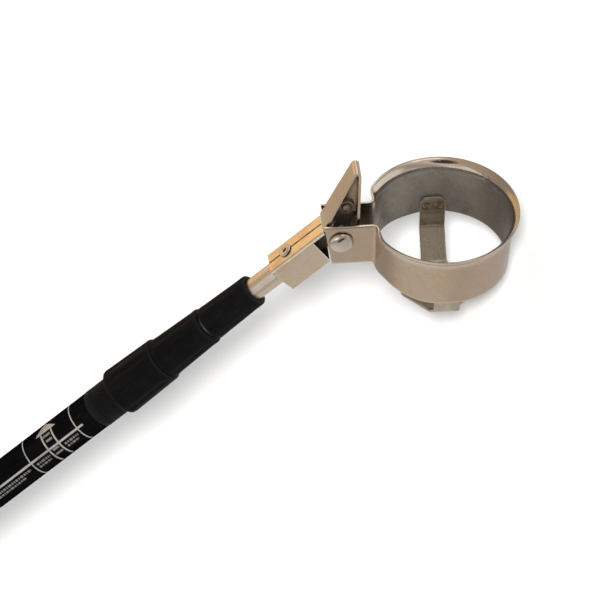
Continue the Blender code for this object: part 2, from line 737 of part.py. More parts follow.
def collar(name, span, radii, inner, own, parent, skirted=False):
    """Moulded collar: front lip round the inner tube, long bore over its own tube.

    span is how far its front and rear lie behind the hinge pin; radii are front and rear.
    The skirted collar is also fluted and has a thin sleeve running on behind it."""
    front, rear = behind(span[0]), behind(span[1])
    front_r, rear_r = radii
    lip_bore, bore = inner.outer + FIT, own.outer + FIT
    chamfer = COLLAR_CHAMFER
    profile = [(front, lip_bore), (front - COLLAR_LIP, lip_bore), (front - COLLAR_LIP, bore)]
    if skirted:
        profile += [(SKIRT_REAR, bore), (SKIRT_REAR, SKIRT_R - 0.2),
                    (SKIRT_REAR + 0.2, SKIRT_R), (rear - 1.6, SKIRT_R), (rear, rear_r - 0.9),
                    (rear + 1.2, rear_r)]
    else:
        profile += [(rear, bore), (rear, rear_r - chamfer), (rear + chamfer, rear_r)]
    body = len(profile)
    profile += [(rear + 3.0, rear_r), (front - 3.6, front_r + (rear_r - front_r) * 0.12),
                (front - chamfer - 0.4, front_r), (front - 0.35, front_r - 0.45),
                (front, front_r - 1.0)]

    def fluted(k, radius, angle):
        if k not in (body, body + 1):
            return radius
        return radius - RIB_DEPTH * (0.5 - 0.5 * math.cos(RIBS * angle))
    shape = turned(profile, seg=36 if skirted else SEGMENTS, closed=True,
                   radius_at=fluted if skirted else None)
    add_piece(name, shape, "collar", parent, 30.0)


LOCK_OFFSET = 0.35       # the lock's pin, screw and cam bore sit this far above the axis
LOCK_GAP = 0.3           # tube's rear end to the plug's flange


def lock_plug(number, tube, pin_r, flange, parent):
    """Plug in the tube's rear end, with a flange and an off-centre pin behind it."""
    spigot, flange_r = tube.bore - FIT, tube.outer - 0.05
    front = tube.rear + 8.6
    profile = [(flange - 3.0, 0), (flange - 3.0, tube.outer - 0.3), (flange - 2.7, flange_r),
               (flange, flange_r), (flange, spigot), (front - 0.6, spigot),
               (front, spigot - 0.6), (front, 0)]
    ob = add_piece("lock_plug_%d" % number, turned(profile, seg=24), "nylon", parent)
    centre = (0, 0, LOCK_OFFSET)
    join(ob, rod('X', centre, pin_r, flange - 12.6, flange - 2.0, 20))
    cut(ob, rod('X', centre, 0.95, flange - 14.0, flange - 3.5, 14))
    reshade(ob)


def lock_cam(number, outer_bore, pin_r, flange, parent):
    """Loose ring round the pin: concentric outside, off-centre bore."""
    front, rear = flange - 3.35, flange - 12.2
    radius, bore = outer_bore - 0.28, pin_r + 0.58
    chamfer = 0.3
    rings = [(rear, radius - chamfer, 0.0), (rear + chamfer, radius, 0.0),
             (front - chamfer, radius, 0.0), (front, radius - chamfer, 0.0),
             (front, bore, LOCK_OFFSET), (rear, bore, LOCK_OFFSET)]
    sections = [[(x, y, z) for y, z in circle(0.0, offset, r, 24)] for x, r, offset in rings]
    add_piece("lock_cam_%d" % number, skinned(sections, closed=True), "collar", parent)


def lock_screw(number, outer_bore, pin_r, flange, parent):
    """Screw in the rear end of the pin, its head holding the cam on."""
    seat = flange - 12.95
    head_r = min(pin_r + 1.1, outer_bore - LOCK_OFFSET - 0.5)
    profile = [(seat - 1.5, 0), (seat - 1.5, head_r - 0.5), (seat - 1.1, head_r),
               (seat, head_r), (seat, 0.7), (seat + 7.5, 0.7), (seat + 8.0, 0.3),
               (seat + 8.0, 0)]
    add_piece("lock_screw_%d" % number, turned(profile, 'X', (0, 0, LOCK_OFFSET), 18),
              "bright", parent, loc=(seat, 0, LOCK_OFFSET))


def twist_lock(number, tube, outer_tube, stage, cam):
    """Lock at the rear of one tube, inside the next tube out."""
    pin_r = 1.45 + 0.2 * number
    flange = tube.rear - LOCK_GAP
    lock_plug(number, tube, pin_r, flange, stage)
    lock_cam(number, outer_tube.bore, pin_r, flange, cam)
    lock_screw(number, outer_tube.bore, pin_r, flange, stage)


twist_lock(1, INNER_TUBE, SECOND_TUBE, rig_head, rig_cam_1)

shaft_tube("second_tube", SECOND_TUBE, "tube", rig_stage_2)
collar("collar_front", (44.0, 67.5), (6.65, 7.2), INNER_TUBE, SECOND_TUBE, rig_stage_2)
twist_lock(2, SECOND_TUBE, THIRD_TUBE, rig_stage_2, rig_cam_2)

shaft_tube("third_tube", THIRD_TUBE, "tube", rig_stage_3)
collar("collar_middle", (69.0, 92.5), (7.75, 8.5), SECOND_TUBE, THIRD_TUBE, rig_stage_3)
twist_lock(3, THIRD_TUBE, HANDLE_TUBE, rig_stage_3, rig_cam_3)

shaft_tube("handle_tube", HANDLE_TUBE, "black_tube", rig_handle)
collar("collar_rear", (93.0, 117.0), (9.3, 9.9), THIRD_TUBE, HANDLE_TUBE, rig_handle,
       skirted=True)


# ================================================================= handle
LABEL = Tube(HANDLE_TUBE.outer + 0.52, HANDLE_TUBE.outer + 0.25, PIN_X - 215.0,
             SKIRT_REAR - 0.5)
GRIP_REAR, GRIP_FRONT = 6.4, 300.0
GRIP_REAR_R, GRIP_FRONT_R = 12.2, 9.4
GROOVE_PITCH, GROOVE_DEPTH = 52.0, 0.55
BUTT_R = 12.4


def label_sleeve():
    sleeve("label_sleeve", LABEL, 0.05, 0.1, "label", rig_handle, 40.0)


def grip():
    """Tapered rubber grip with shallow ring grooves."""
    bore = HANDLE_TUBE.outer + FIT

    def taper(x):
        share = (x - GRIP_REAR) / (GRIP_FRONT - GRIP_REAR)
        return GRIP_REAR_R + (GRIP_FRONT_R - GRIP_REAR_R) * share ** 0.8
    profile = [(GRIP_FRONT, bore), (GRIP_REAR, bore), (GRIP_REAR, GRIP_REAR_R - 0.6),
               (GRIP_REAR + 0.7, GRIP_REAR_R)]
    x = GRIP_REAR + 18.0
    while x < GRIP_FRONT - 22:
        floor = taper(x) - GROOVE_DEPTH
        profile += [(x, taper(x)), (x + 0.6, floor), (x + 1.8, floor),
                    (x + 2.4, taper(x + 2.4))]
        x += GROOVE_PITCH
    profile += [(GRIP_FRONT - 3.0, taper(GRIP_FRONT - 3)), (GRIP_FRONT - 0.8, 9.0),
                (GRIP_FRONT, 8.4)]
    add_piece("grip", turned(profile, seg=26, closed=True), "rubber", rig_handle, 28.0)


def butt_cap():
    """Rounded disc over the rear end, with a spigot inside the handle tube."""
    spigot = HANDLE_TUBE.bore - FIT
    profile = [(0.0, 0.0), (0.0, BUTT_R - 1.2), (0.5, BUTT_R - 0.35), (1.4, BUTT_R),
               (4.9, BUTT_R), (5.6, BUTT_R - 0.7), (5.6, spigot), (17.0, spigot),
               (17.8, spigot - 0.8), (17.8, 0.0)]
    add_piece("butt_cap", turned(profile), "rubber", rig_handle, 28.0)


label_sleeve()
grip()
butt_cap()

bpy.context.view_layer.update()
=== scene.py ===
"""Looks for a telescoping handle with a hinged ring cup at its end, plus the stage it stands on.

Row frame: the tubes share the X axis, with the butt cap at x = 0 and the cup's hinge pin,
parallel to Y, near x = 600 mm; +Z is up.
Cup frame: origin on the ring's axis, +Z out of the ring's mouth, the hinge on the -X side.
Lengths are millimetres unless a comment says metres.
"""
import math
from collections import namedtuple
from functools import cached_property

import bpy
import numpy as np
from mathutils import Matrix, Vector


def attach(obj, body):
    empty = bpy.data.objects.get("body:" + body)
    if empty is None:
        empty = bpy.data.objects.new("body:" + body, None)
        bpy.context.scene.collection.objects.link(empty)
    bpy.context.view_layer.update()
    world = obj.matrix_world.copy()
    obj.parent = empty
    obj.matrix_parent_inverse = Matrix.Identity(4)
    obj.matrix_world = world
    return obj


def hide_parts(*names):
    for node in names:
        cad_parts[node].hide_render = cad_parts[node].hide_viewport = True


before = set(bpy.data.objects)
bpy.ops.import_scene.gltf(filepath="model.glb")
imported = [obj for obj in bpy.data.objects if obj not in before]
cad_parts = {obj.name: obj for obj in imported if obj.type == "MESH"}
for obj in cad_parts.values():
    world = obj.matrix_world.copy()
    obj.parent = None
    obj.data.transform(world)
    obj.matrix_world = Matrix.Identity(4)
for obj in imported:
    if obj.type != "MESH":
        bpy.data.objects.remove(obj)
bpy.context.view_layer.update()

scene = bpy.context.scene
MM = 0.001

# ---------------------------------------------------------------- shared dimensions
PIN_X, PIN_Z = 600.0, -1.9               # hinge pin in the row frame
PIN = (PIN_X, 0, PIN_Z)
PIN_CUP_X, PIN_CUP_Z = -39.7, -7.2       # the same pin in the cup frame
TILT = math.radians(45.2)                # cup frame turned about the pin
TILT_COS, TILT_SIN = math.cos(TILT), math.sin(TILT)
PIN_HOLE_R = 2.3
PIVOT_HOLE_R = 1.3
STRAP_T = 1.0
STRAP_BEND_R = 24.9                      # radius of the strap's welded ends


def behind_pin(distance):
    """Row-frame x, measured from the pin towards the butt."""
    return PIN_X - distance


def above_pin(height):
    return PIN_Z + height


def in_row(point):
    """Cup-frame point to row-frame point."""
    x, z = point[0] - PIN_CUP_X, point[2] - PIN_CUP_Z
    return (PIN_X + x * TILT_COS + z * TILT_SIN, point[1],
            PIN_Z - x * TILT_SIN + z * TILT_COS)


def turned_to_cup(x, z):
    """Row-frame x and z components in the cup frame's directions."""
    return x * TILT_COS - z * TILT_SIN, x * TILT_SIN + z * TILT_COS


def strap_sag(x):
    """How far the strap's curved end falls away at x from its middle."""
    return STRAP_BEND_R - math.sqrt(STRAP_BEND_R * STRAP_BEND_R - x * x)


LEVER_PIVOT = Vector(in_row((-37.5, 0, 5.6)))

Tube = namedtuple("Tube", "outer inner rear front")   # two radii, two x places
TUBE_1 = Tube(4.45, 3.75, 96.0, behind_pin(12.5))
TUBE_2 = Tube(5.35, 4.75, 68.0, behind_pin(48.0))
TUBE_3 = Tube(6.30, 5.70, 40.0, behind_pin(73.0))
TUBE_4 = Tube(7.35, 6.65, 6.0, behind_pin(97.0))
SLIDE_GAP = 0.3                          # play between a tube and what surrounds it

BOX_TOP, BOX_BOTTOM = above_pin(7.6), above_pin(-6.0)
EYELET_X = behind_pin(21.5)
EYELET_HOLE_R = 1.8


# ---------------------------------------------------------------- objects and modifiers
def solid(name, shape):
    """Smooth-shaded object from (vertices, faces)."""
    vertices, faces = shape
    mesh = bpy.data.meshes.new(name)
    mesh.from_pydata([(x * MM, y * MM, z * MM) for x, y, z in vertices], [], faces)
    mesh.validate()
    ob = bpy.data.objects.new(name, mesh)
    scene.collection.objects.link(ob)
    mesh.shade_smooth()
    return ob


def bake_modifiers(ob):
    bpy.context.view_layer.update()
    depsgraph = bpy.context.evaluated_depsgraph_get()
    mesh = bpy.data.meshes.new_from_object(ob.evaluated_get(depsgraph))
    old = ob.data
    ob.modifiers.clear()
    ob.data = mesh
    mesh.name = ob.name
    bpy.data.meshes.remove(old)


def combine(ob, shape, operation='DIFFERENCE'):
    """Cut the shape out of the object, or join it on with 'UNION'."""
    other = solid("tool", shape)
    modifier = ob.modifiers.new("cut", 'BOOLEAN')
    modifier.operation = operation
    modifier.solver = 'EXACT'
    modifier.object = other
    bake_modifiers(ob)
    bpy.data.objects.remove(other, do_unlink=True)
    ob.data.shade_smooth()


def add_bevel(ob, width, angle, segments=2):
    modifier = ob.modifiers.new("edge", 'BEVEL')
    modifier.width = width * MM
    modifier.segments = segments
    modifier.limit_method = 'ANGLE'
    modifier.angle_limit = math.radians(angle)


def round_edges(ob, width, angle, segments=2):
    """Bevel baked into the mesh, then weighted normals that respect the sharp edges left."""
    add_bevel(ob, width, angle, segments)
    bake_modifiers(ob)
    ob.data.shade_smooth()
    ob.data.set_sharp_from_angle(angle=math.radians(50))
    normals = ob.modifiers.new("normals", 'WEIGHTED_NORMAL')
    normals.keep_sharp = True
    normals.weight = 60


def add_weights(mesh, name, values):
    mesh.attributes.new(name, 'FLOAT', 'POINT').data.foreach_set("value", values)


def install(ob, body, node, material, sharp=None):
    if sharp is not None:
        ob.data.set_sharp_from_angle(angle=math.radians(sharp))
    ob.data.materials.clear()
    ob.data.materials.append(material)
    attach(ob, body)
    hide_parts(node)


# ---------------------------------------------------------------- shapes: (vertices, faces)
AXIS_ORDER = {
    'X': lambda along, u, v: (along, u, v),
    'Y': lambda along, u, v: (v, along, u),
    'Z': lambda along, u, v: (u, v, along),
}


def facing_out(vertices, faces):
    """Reverse every face if the signed volume says they point inwards."""
    points = np.array([tuple(p) for p in vertices], dtype=float)
    volume = 0.0
    for face in faces:
        first = points[face[0]]
        for i in range(1, len(face) - 1):
            volume += float(np.dot(first, np.cross(points[face[i]], points[face[i + 1]])))
    if volume < 0:
        faces = [tuple(reversed(face)) for face in faces]
    return vertices, faces


def turned(profile, axis, centre, segments, closed=False, reshape=None):
    """Surface of revolution from (place along the axis, radius) points.

    reshape(along, radius, angle) may change the radius round the turn.
    """
    order = AXIS_ORDER[axis]
    vertices, rings = [], []
    for along, radius in profile:
        start = len(vertices)
        if radius <= 1e-9:
            rings.append([start])
            vertices.append(order(along, 0.0, 0.0))
            continue
        rings.append(list(range(start, start + segments)))
        for i in range(segments):
            angle = 2 * math.pi * i / segments
            r = reshape(along, radius, angle) if reshape else radius
            vertices.append(order(along, r * math.cos(angle), r * math.sin(angle)))
    faces = []
    for k in range(len(rings) if closed else len(rings) - 1):
        near, far = rings[k], rings[(k + 1) % len(rings)]
        if len(near) == 1 and len(far) == 1:
            continue
        for i in range(segments):
            j = (i + 1) % segments
            if len(near) == 1:
                faces.append((near[0], far[j], far[i]))
            elif len(far) == 1:
                faces.append((near[i], near[j], far[0]))
            else:
                faces.append((near[i], near[j], far[j], far[i]))
    centre = Vector(centre)
    return facing_out([tuple(Vector(v) + centre) for v in vertices], faces)


def rod(axis, centre, radius, start, end, segments=64):
    profile = [(start, 0.0), (start, radius), (end, radius), (end, 0.0)]
    return turned(profile, axis, centre, segments)


def swept(sections):
    """Skin over equal-length closed sections, with both ends capped."""
    size = len(sections[0])
    vertices = [tuple(p) for section in sections for p in section]
    faces = []
    for k in range(len(sections) - 1):
        a, b = k * size, (k + 1) * size
        for i in range(size):
            j = (i + 1) % size
            faces.append((a + i, a + j, b + j, b + i))
    last = (len(sections) - 1) * size
    faces.append(tuple(reversed(range(size))))
    faces.append(tuple(range(last, last + size)))
    return facing_out(vertices, faces)


def prism(outline, y0, y1):
    """An (x, z) outline carried from y0 to y1."""
    n = len(outline)
    vertices = [(x, y0, z) for x, z in outline] + [(x, y1, z) for x, z in outline]
    faces = [tuple(range(n)), tuple(reversed(range(n, 2 * n)))]
    for i in range(n):
        j = (i + 1) % n
        faces.append((i, n + i, n + j, j))
    return facing_out(vertices, faces)


# ---------------------------------------------------------------- outlines and curves
def hull(points):
    """Convex hull of 2D points."""
    points = sorted(set((round(x, 6), round(y, 6)) for x, y in points))

    def half(sequence):
        out = []
        for x, y in sequence:
            while len(out) > 1:
                (x1, y1), (x2, y2) = out[-2], out[-1]
                if (x2 - x1) * (y - y1) - (y2 - y1) * (x - x1) > 0:
                    break
                out.pop()
            out.append((x, y))
        return out
    return half(points)[:-1] + half(reversed(points))[:-1]


def circle(x, z, radius, n=64):
    angles = [2 * math.pi * i / n for i in range(n)]
    return [(x + radius * math.cos(a), z + radius * math.sin(a)) for a in angles]


def filleted(points, radius, steps):
    """Open 2D line with its corners rounded."""
    out = [points[0]]
    for before, corner, after in zip(points[:-2], points[1:-1], points[2:]):
        before, corner, after = Vector(before), Vector(corner), Vector(after)
        u, v = (before - corner).normalized(), (after - corner).normalized()
        half_angle = u.angle(v) / 2
        setback = min(radius / math.tan(half_angle), 0.45 * (before - corner).length,
                      0.45 * (after - corner).length)
        r = setback * math.tan(half_angle)
        centre = corner + (u + v).normalized() * (r / math.sin(half_angle))
        start, end = corner + u * setback, corner + v * setback
        start_angle = math.atan2(start.y - centre.y, start.x - centre.x)
        end_angle = math.atan2(end.y - centre.y, end.x - centre.x)
        turn = (end_angle - start_angle + math.pi) % (2 * math.pi) - math.pi
        for i in range(steps + 1):
            angle = start_angle + turn * i / steps
            out.append((centre.x + r * math.cos(angle), centre.y + r * math.sin(angle)))
    out.append(points[-1])
    return [tuple(p) for p in out]


def spline(points, steps):
    """Catmull-Rom curve through 2D points."""
    knots = [Vector(p) for p in points]
    knots = [knots[0] * 2 - knots[1]] + knots + [knots[-1] * 2 - knots[-2]]
    out = []
    for a, b, c, d in zip(knots, knots[1:], knots[2:], knots[3:]):
        for j in range(steps):
            t = j / steps
            p = 0.5 * ((2 * b) + (c - a) * t + (2 * a - 5 * b + 4 * c - d) * t * t
                       + (3 * b - a - 3 * c + d) * t ** 3)
            out.append((p.x, p.y))
    out.append((knots[-2].x, knots[-2].y))
    return out


def direction_at(points, k):
    """Unit direction of a line of points at its k-th point."""
    before = Vector(points[max(0, k - 1)])
    after = Vector(points[min(len(points) - 1, k + 1)])
    return (after - before).normalized()


def mirrored(points):
    """The points in reverse order with their first coordinate negated."""
    return [(-p[0], p[1]) for p in reversed(points)]


def smoothstep(t):
    t = min(1.0, max(0.0, t))
    return t * t * (3 - 2 * t)


def mixed(a, b, share):
    return a * (1 - share) + b * share


# ---------------------------------------------------------------- node trees
class Graph:
    """Short calls for building one node tree."""
    third_operand = 0.5                  # the Math input that two-operand sums ignore

    def __init__(self, tree):
        self.tree = tree

    def new(self, kind, inputs=None, **settings):
        node = self.tree.nodes.new("ShaderNode" + kind)
        for key, value in settings.items():
            setattr(node, key, value)
        for key, value in (inputs or {}).items():
            self.put(node.inputs[key], value)
        return node

    def put(self, socket, value):
        if isinstance(value, bpy.types.NodeSocket):
            self.tree.links.new(value, socket)
        elif socket.type == 'RGBA':
            socket.default_value = (*value, 1.0)
        else:
            socket.default_value = value

    def math(self, operation, a, b=0.0):
        inputs = {0: a, 1: b, 2: self.third_operand}
        return self.new("Math", inputs, operation=operation).outputs[0]

    def add(self, a, b):
        return self.math('ADD', a, b)

    def multiply(self, a, b):
        return self.math('MULTIPLY', a, b)

    def vector_math(self, operation, vector, other):
        inputs = {0: vector, 1: tuple(other)}
        return self.new("VectorMath", inputs, operation=operation).outputs["Value"]

    def dot(self, vector, other):
        return self.vector_math('DOT_PRODUCT', vector, other)

    def ramp(self, value, span, to=(0.0, 1.0)):
        """Smooth step over the span, which may run downwards."""
        return self.new("MapRange", {
            "Value": value, "From Min": span[0], "From Max": span[1],
            "To Min": to[0], "To Max": to[1]}, interpolation_type='SMOOTHSTEP').outputs[0]

    def mix(self, factor, a, b):
        """Mix of two colours; sockets 6 and 7 are the node's colour inputs."""
        return self.new("Mix", {0: factor, 6: a, 7: b}, data_type='RGBA').outputs[2]

    def mix_shader(self, factor, a, b):
        return self.new("MixShader", {0: factor, 1: a, 2: b}).outputs[0]


class Surface(Graph):
    """One material, built up as a running colour, roughness and metallic value."""
    third_operand = 0.0
    SOCKETS = {"coat": "Coat Weight", "coat_rough": "Coat Roughness",
               "anisotropy": "Anisotropic", "specular": "Specular IOR Level",
               "sheen": "Sheen Weight", "subsurface": "Subsurface Weight"}

    def __init__(self, name, color, metal=0.0):
        self.material = bpy.data.materials.new(name)
        self.material.use_nodes = True
        super().__init__(self.material.node_tree)
        coordinates = self.new("TexCoord")
        self.position = coordinates.outputs["Object"]
        self.object_normal = coordinates.outputs["Normal"]
        self.color, self.metal = color, metal
        self.rough = None

    @cached_property
    def geometry(self):
        return self.new("NewGeometry").outputs

    @property
    def pointiness(self):
        return self.geometry["Pointiness"]

    def mapping(self, scale, turn=(0, 0, 0)):
        inputs = {"Vector": self.position, "Scale": scale, "Rotation": turn}
        return self.new("Mapping", inputs).outputs[0]

    def noise(self, scale, detail=4.0, rough=0.55, distortion=0.0, at=None):
        return self.new("TexNoise", {
            "Vector": at or self.position, "Scale": scale, "Detail": detail,
            "Roughness": rough, "Distortion": distortion}).outputs["Fac"]

    def streaks(self, scale, detail, rough, turn=(0, 0, 0)):
        """Noise with its own scale along each axis."""
        return self.noise(1.0, detail, rough, at=self.mapping(scale, turn))

    def cells(self, scale, at=None):
        inputs = {"Vector": at or self.position, "Scale": scale}
        return self.new("TexVoronoi", inputs).outputs["Distance"]

    def specks(self, scale, span, where):
        """Small dots at cell centres, kept only where the mask allows."""
        return self.multiply(self.ramp(self.cells(scale), span), where)

    def attribute(self, name):
        return self.new("Attribute", attribute_name=name).outputs["Fac"]

    def xyz(self, vector):
        return self.new("SeparateXYZ", {0: vector}).outputs

    def tint(self, mask, color, strength=None):
        if strength is not None:
            mask = self.multiply(mask, strength)
        self.color = self.mix(mask, self.color, color)

    def roughen(self, mask, strength=None):
        if strength is not None:
            mask = self.multiply(mask, strength)
        self.rough = self.add(self.rough, mask)

    def weighted(self, *terms):
        """Sum of (value, weight) terms."""
        total = None
        for value, weight in terms:
            term = self.multiply(value, weight)
            total = term if total is None else self.add(total, term)
        return total

    def bump(self, height, strength, distance, over=None):
        """Bump on top of another normal; distance in metres."""
        inputs = {"Strength": strength, "Distance": distance, "Height": height}
        if over is not None:
            inputs["Normal"] = over
        return self.new("Bump", inputs).outputs[0]

    def finish(self, normal, **extra):
        values = {"Base Color": self.color, "Roughness": self.rough, "Metallic": self.metal,
                  "Normal": normal}
        values.update((self.SOCKETS[key], value) for key, value in extra.items())
        shader = self.tree.nodes["Principled BSDF"]
        for key, value in values.items():
            self.put(shader.inputs[key], value)
        return self.material


def scaled(color, *factors):
    """Colour times one factor, or times one factor per channel."""
    return tuple(channel * factor for channel, factor in zip(color, factors * 3))


# ---------------------------------------------------------------- plated sheet
# Masks below work in metres.
HAIRLINE = dict(detail=2, rough=0.5)


def plated(name, base, warm, rough, grain, detail, grain_turn=(0, 0, 0), wear=0.5):
    """Thin plating on sheet: rolling grain, hairlines, cloudy patches, brighter worn edges.

    detail(surface) adds what one piece needs and may return an extra bump height.
    """
    s = Surface(name, base, metal=1.0)
    s.cloud = s.noise(scale=85, detail=5, rough=0.6, distortion=0.4)
    s.blot = s.noise(scale=420, detail=4, rough=0.65)
    s.roll = s.streaks(grain, detail=6, rough=0.7, turn=grain_turn)
    hair_turn = tuple(a + b for a, b in zip(grain_turn, (0.2, 0.35, 0.3)))
    hair = s.ramp(s.streaks(scaled(grain, 3.2, 4.0, 4.0), turn=hair_turn, **HAIRLINE),
                  span=(0.66, 0.72))
    cross_hair = s.ramp(s.streaks((2600, 150, 900), turn=(0.5, 0.2, 0.9), **HAIRLINE),
                        span=(0.68, 0.74))
    s.fine = s.math('MAXIMUM', hair, cross_hair)
    pits = s.specks(scale=900, span=(0.10, 0.04), where=s.ramp(s.blot, span=(0.5, 0.62)))

    s.tint(s.ramp(s.cloud, span=(0.38, 0.66), to=(0.0, 0.8)), warm)
    s.tint(s.ramp(s.roll, span=(0.35, 0.7), to=(0.0, 0.22)), scaled(base, 0.72, 0.72, 0.70))
    s.tint(s.ramp(s.pointiness, span=(0.515, 0.56)), (0.86, 0.80, 0.70), strength=wear)
    s.tint(s.ramp(s.pointiness, span=(0.49, 0.44)), (0.09, 0.075, 0.06), strength=0.55)
    s.tint(pits, (0.12, 0.10, 0.08), strength=0.5)
    s.rough = s.ramp(s.cloud, span=(0.35, 0.7), to=(rough - 0.05, rough + 0.07))
    s.roughen(s.ramp(s.blot, span=(0.4, 0.7), to=(-0.02, 0.05)))
    s.roughen(s.fine, strength=0.16)

    relief = detail(s)
    height = s.weighted((s.roll, 0.35), (s.fine, -0.8), (pits, -0.8))
    normal = s.bump(height, strength=0.22, distance=0.00012)
    normal = s.bump(s.cloud, strength=0.10, distance=0.0006, over=normal)
    if relief is not None:
        normal = s.bump(relief, strength=0.6, distance=0.0001, over=normal)
    return s.finish(normal, anisotropy=0.25)


def ring_detail(s):
    """Painted highlight on the glossier lip; the ring's inside rougher, less metallic and painted
    darker as shade, most towards both ends across the cup's X; painted shade on the ring's far
    side; the ears' inner faces painted near black as shade.
    """
    s.rough = s.math('SUBTRACT', s.rough, s.multiply(s.attribute("lip"), 0.115))
    inside = s.attribute("inner_ring")
    ear = s.attribute("inner_ear")
    # distance across the ring from its axis, along the cup's X
    across = s.add(s.dot(s.position, (0.7046, 0.0, -0.7096)), -0.4644)
    # painted shade: the ring's inside darker towards both ends across the cup's X
    sides = s.ramp(s.math('ABSOLUTE', s.add(across, 0.002)), span=(0.013, 0.025), to=(0.0, 0.60))
    # painted shade: the ring's inside painted a darker grey, over its rolling grain
    ring_inside_shade = s.mix(s.cloud, (0.175, 0.166, 0.15), (0.27, 0.256, 0.232))
    ring_inside_shade = s.mix(s.ramp(s.roll, span=(0.35, 0.7), to=(0.0, 0.35)), ring_inside_shade, (0.13, 0.122, 0.11))
    ring_inside_shade = s.mix(sides, ring_inside_shade, (0.085, 0.079, 0.066))
    # painted highlight: a paler colour on the lip
    lip_highlight_color = s.mix(s.ramp(s.cloud, span=(0.35, 0.7)), (0.74, 0.70, 0.66), (0.66, 0.60, 0.54))
    # painted shade: the ears' inner faces painted near black
    ear_shade_color = s.mix(s.cloud, (0.018, 0.015, 0.012), (0.06, 0.048, 0.036))
    s.tint(s.attribute("lip"), lip_highlight_color, strength=0.7)
    # painted shade: the ring's far side, away from the hinge, painted greyer and darker
    s.tint(s.ramp(across, span=(0.014, 0.026), to=(0.0, 0.66)), (0.34, 0.335, 0.335))
    s.tint(inside, ring_inside_shade, strength=0.92)
    s.tint(ear, ear_shade_color, strength=0.95)
    s.roughen(inside, strength=0.10)
    s.roughen(ear, strength=0.12)
    s.metal = s.math('SUBTRACT', s.metal, s.multiply(inside, 0.25))


# two weld spots on each of the strap's ends, in metres
WELDS = [
    tuple(c * MM for c in in_row((x, side * (STRAP_BEND_R - strap_sag(x) - STRAP_T / 2), -20.4)))
    for side in (-1, 1) for x in (-2.3, 2.3)]


def strap_detail(s):
    """Painted shade darkening the faces towards the cup's mouth, which are also rougher, and
    stained, dished weld spots.
    """
    mouth_facing = s.ramp(s.dot(s.object_normal, (0.7096, 0.0, 0.7046)), span=(0.75, 0.95))
    mouth_facing_shade = s.multiply(mouth_facing, s.ramp(s.cloud, span=(0.3, 0.7), to=(0.75, 0.95)))
    # painted shade: faces towards the cup's mouth painted darker
    s.tint(mouth_facing_shade, (0.20, 0.175, 0.145))
    s.roughen(mouth_facing, strength=0.12)
    spots = None
    for weld in WELDS:
        distance = s.vector_math('DISTANCE', s.position, weld)
        ring = s.multiply(s.ramp(distance, span=(0.0020, 0.0016)),
                          s.ramp(distance, span=(0.0010, 0.0014)))
        s.tint(s.ramp(distance, span=(0.0038, 0.0012)), (0.30, 0.19, 0.11), strength=0.5)
        s.tint(ring, (0.10, 0.08, 0.06), strength=0.6)
        dish = s.weighted((s.ramp(distance, span=(0.0017, 0.0011)), -3.0), (ring, 1.2))
        spots = dish if spots is None else s.add(spots, dish)
    return spots


def lever_detail(s):
    """The cheek's inner face is painted light: a brown, mostly non-metallic copy of the plating
    that the key light brightens, and rougher.
    """
    inner = s.attribute("inner_web")
    # painted light: the cheek's inner face given a brown, less metallic copy of the plating
    s.tint(inner, s.mix(s.cloud, (0.20, 0.155, 0.105), (0.30, 0.24, 0.17)), strength=0.95)
    s.metal = s.math('SUBTRACT', s.metal, s.multiply(inner, 0.7))
    s.roughen(inner, strength=0.15)


def bracket_detail(s):
    """Dark seam along the top, a faint stain, and the sheet's cut edges turned towards +X painted
    pale and less metallic: partly bare cut metal, partly painted highlight.
    """
    cut_face_highlight = s.ramp(s.xyz(s.geometry["Normal"])[0], span=(0.40, 0.62))
    position = s.xyz(s.position)
    seam = s.multiply(s.ramp(s.math('ABSOLUTE', position[1]), span=(0.00062, 0.00030)),
                      s.ramp(position[2], span=(0.0045, 0.0050)))
    seam = s.multiply(seam, s.ramp(s.blot, span=(0.30, 0.62), to=(0.95, 0.45)))
    s.tint(seam, (0.10, 0.065, 0.04))
    stain = s.noise(scale=130, detail=4, rough=0.6)
    s.tint(s.ramp(stain, span=(0.52, 0.70), to=(0.0, 0.35)), (0.50, 0.37, 0.27))
    # painted highlight, partly bare cut metal: pale colour on faces turned towards +X
    s.tint(cut_face_highlight, s.mix(s.fine, (0.95, 0.90, 0.83), (0.62, 0.56, 0.5)))
    s.metal = s.math('SUBTRACT', s.metal, s.multiply(cut_face_highlight, 0.95))
    s.roughen(cut_face_highlight, strength=0.2)


# ---------------------------------------------------------------- other finishes
def bright_metal(name, base, rough):
    """Bright plated rivets, wire and screws, with fine handling marks."""
    s = Surface(name, base, metal=1.0)
    cloud = s.noise(scale=260, detail=4, rough=0.6)
    hair = s.ramp(s.streaks((3500, 260, 1900), turn=(0.3, 0.5, 0.2), **HAIRLINE),
                  span=(0.64, 0.72))
    s.tint(s.ramp(cloud, span=(0.4, 0.7), to=(0.0, 0.6)), scaled(base, 0.86, 0.82, 0.76))
    s.tint(s.ramp(s.pointiness, span=(0.49, 0.44)), (0.10, 0.085, 0.07), strength=0.7)
    s.rough = s.ramp(cloud, span=(0.35, 0.7), to=(rough - 0.04, rough + 0.08))
    s.roughen(hair, strength=0.18)
    height = s.weighted((cloud, 0.4), (hair, -0.6))
    return s.finish(s.bump(height, strength=0.2, distance=0.0001))


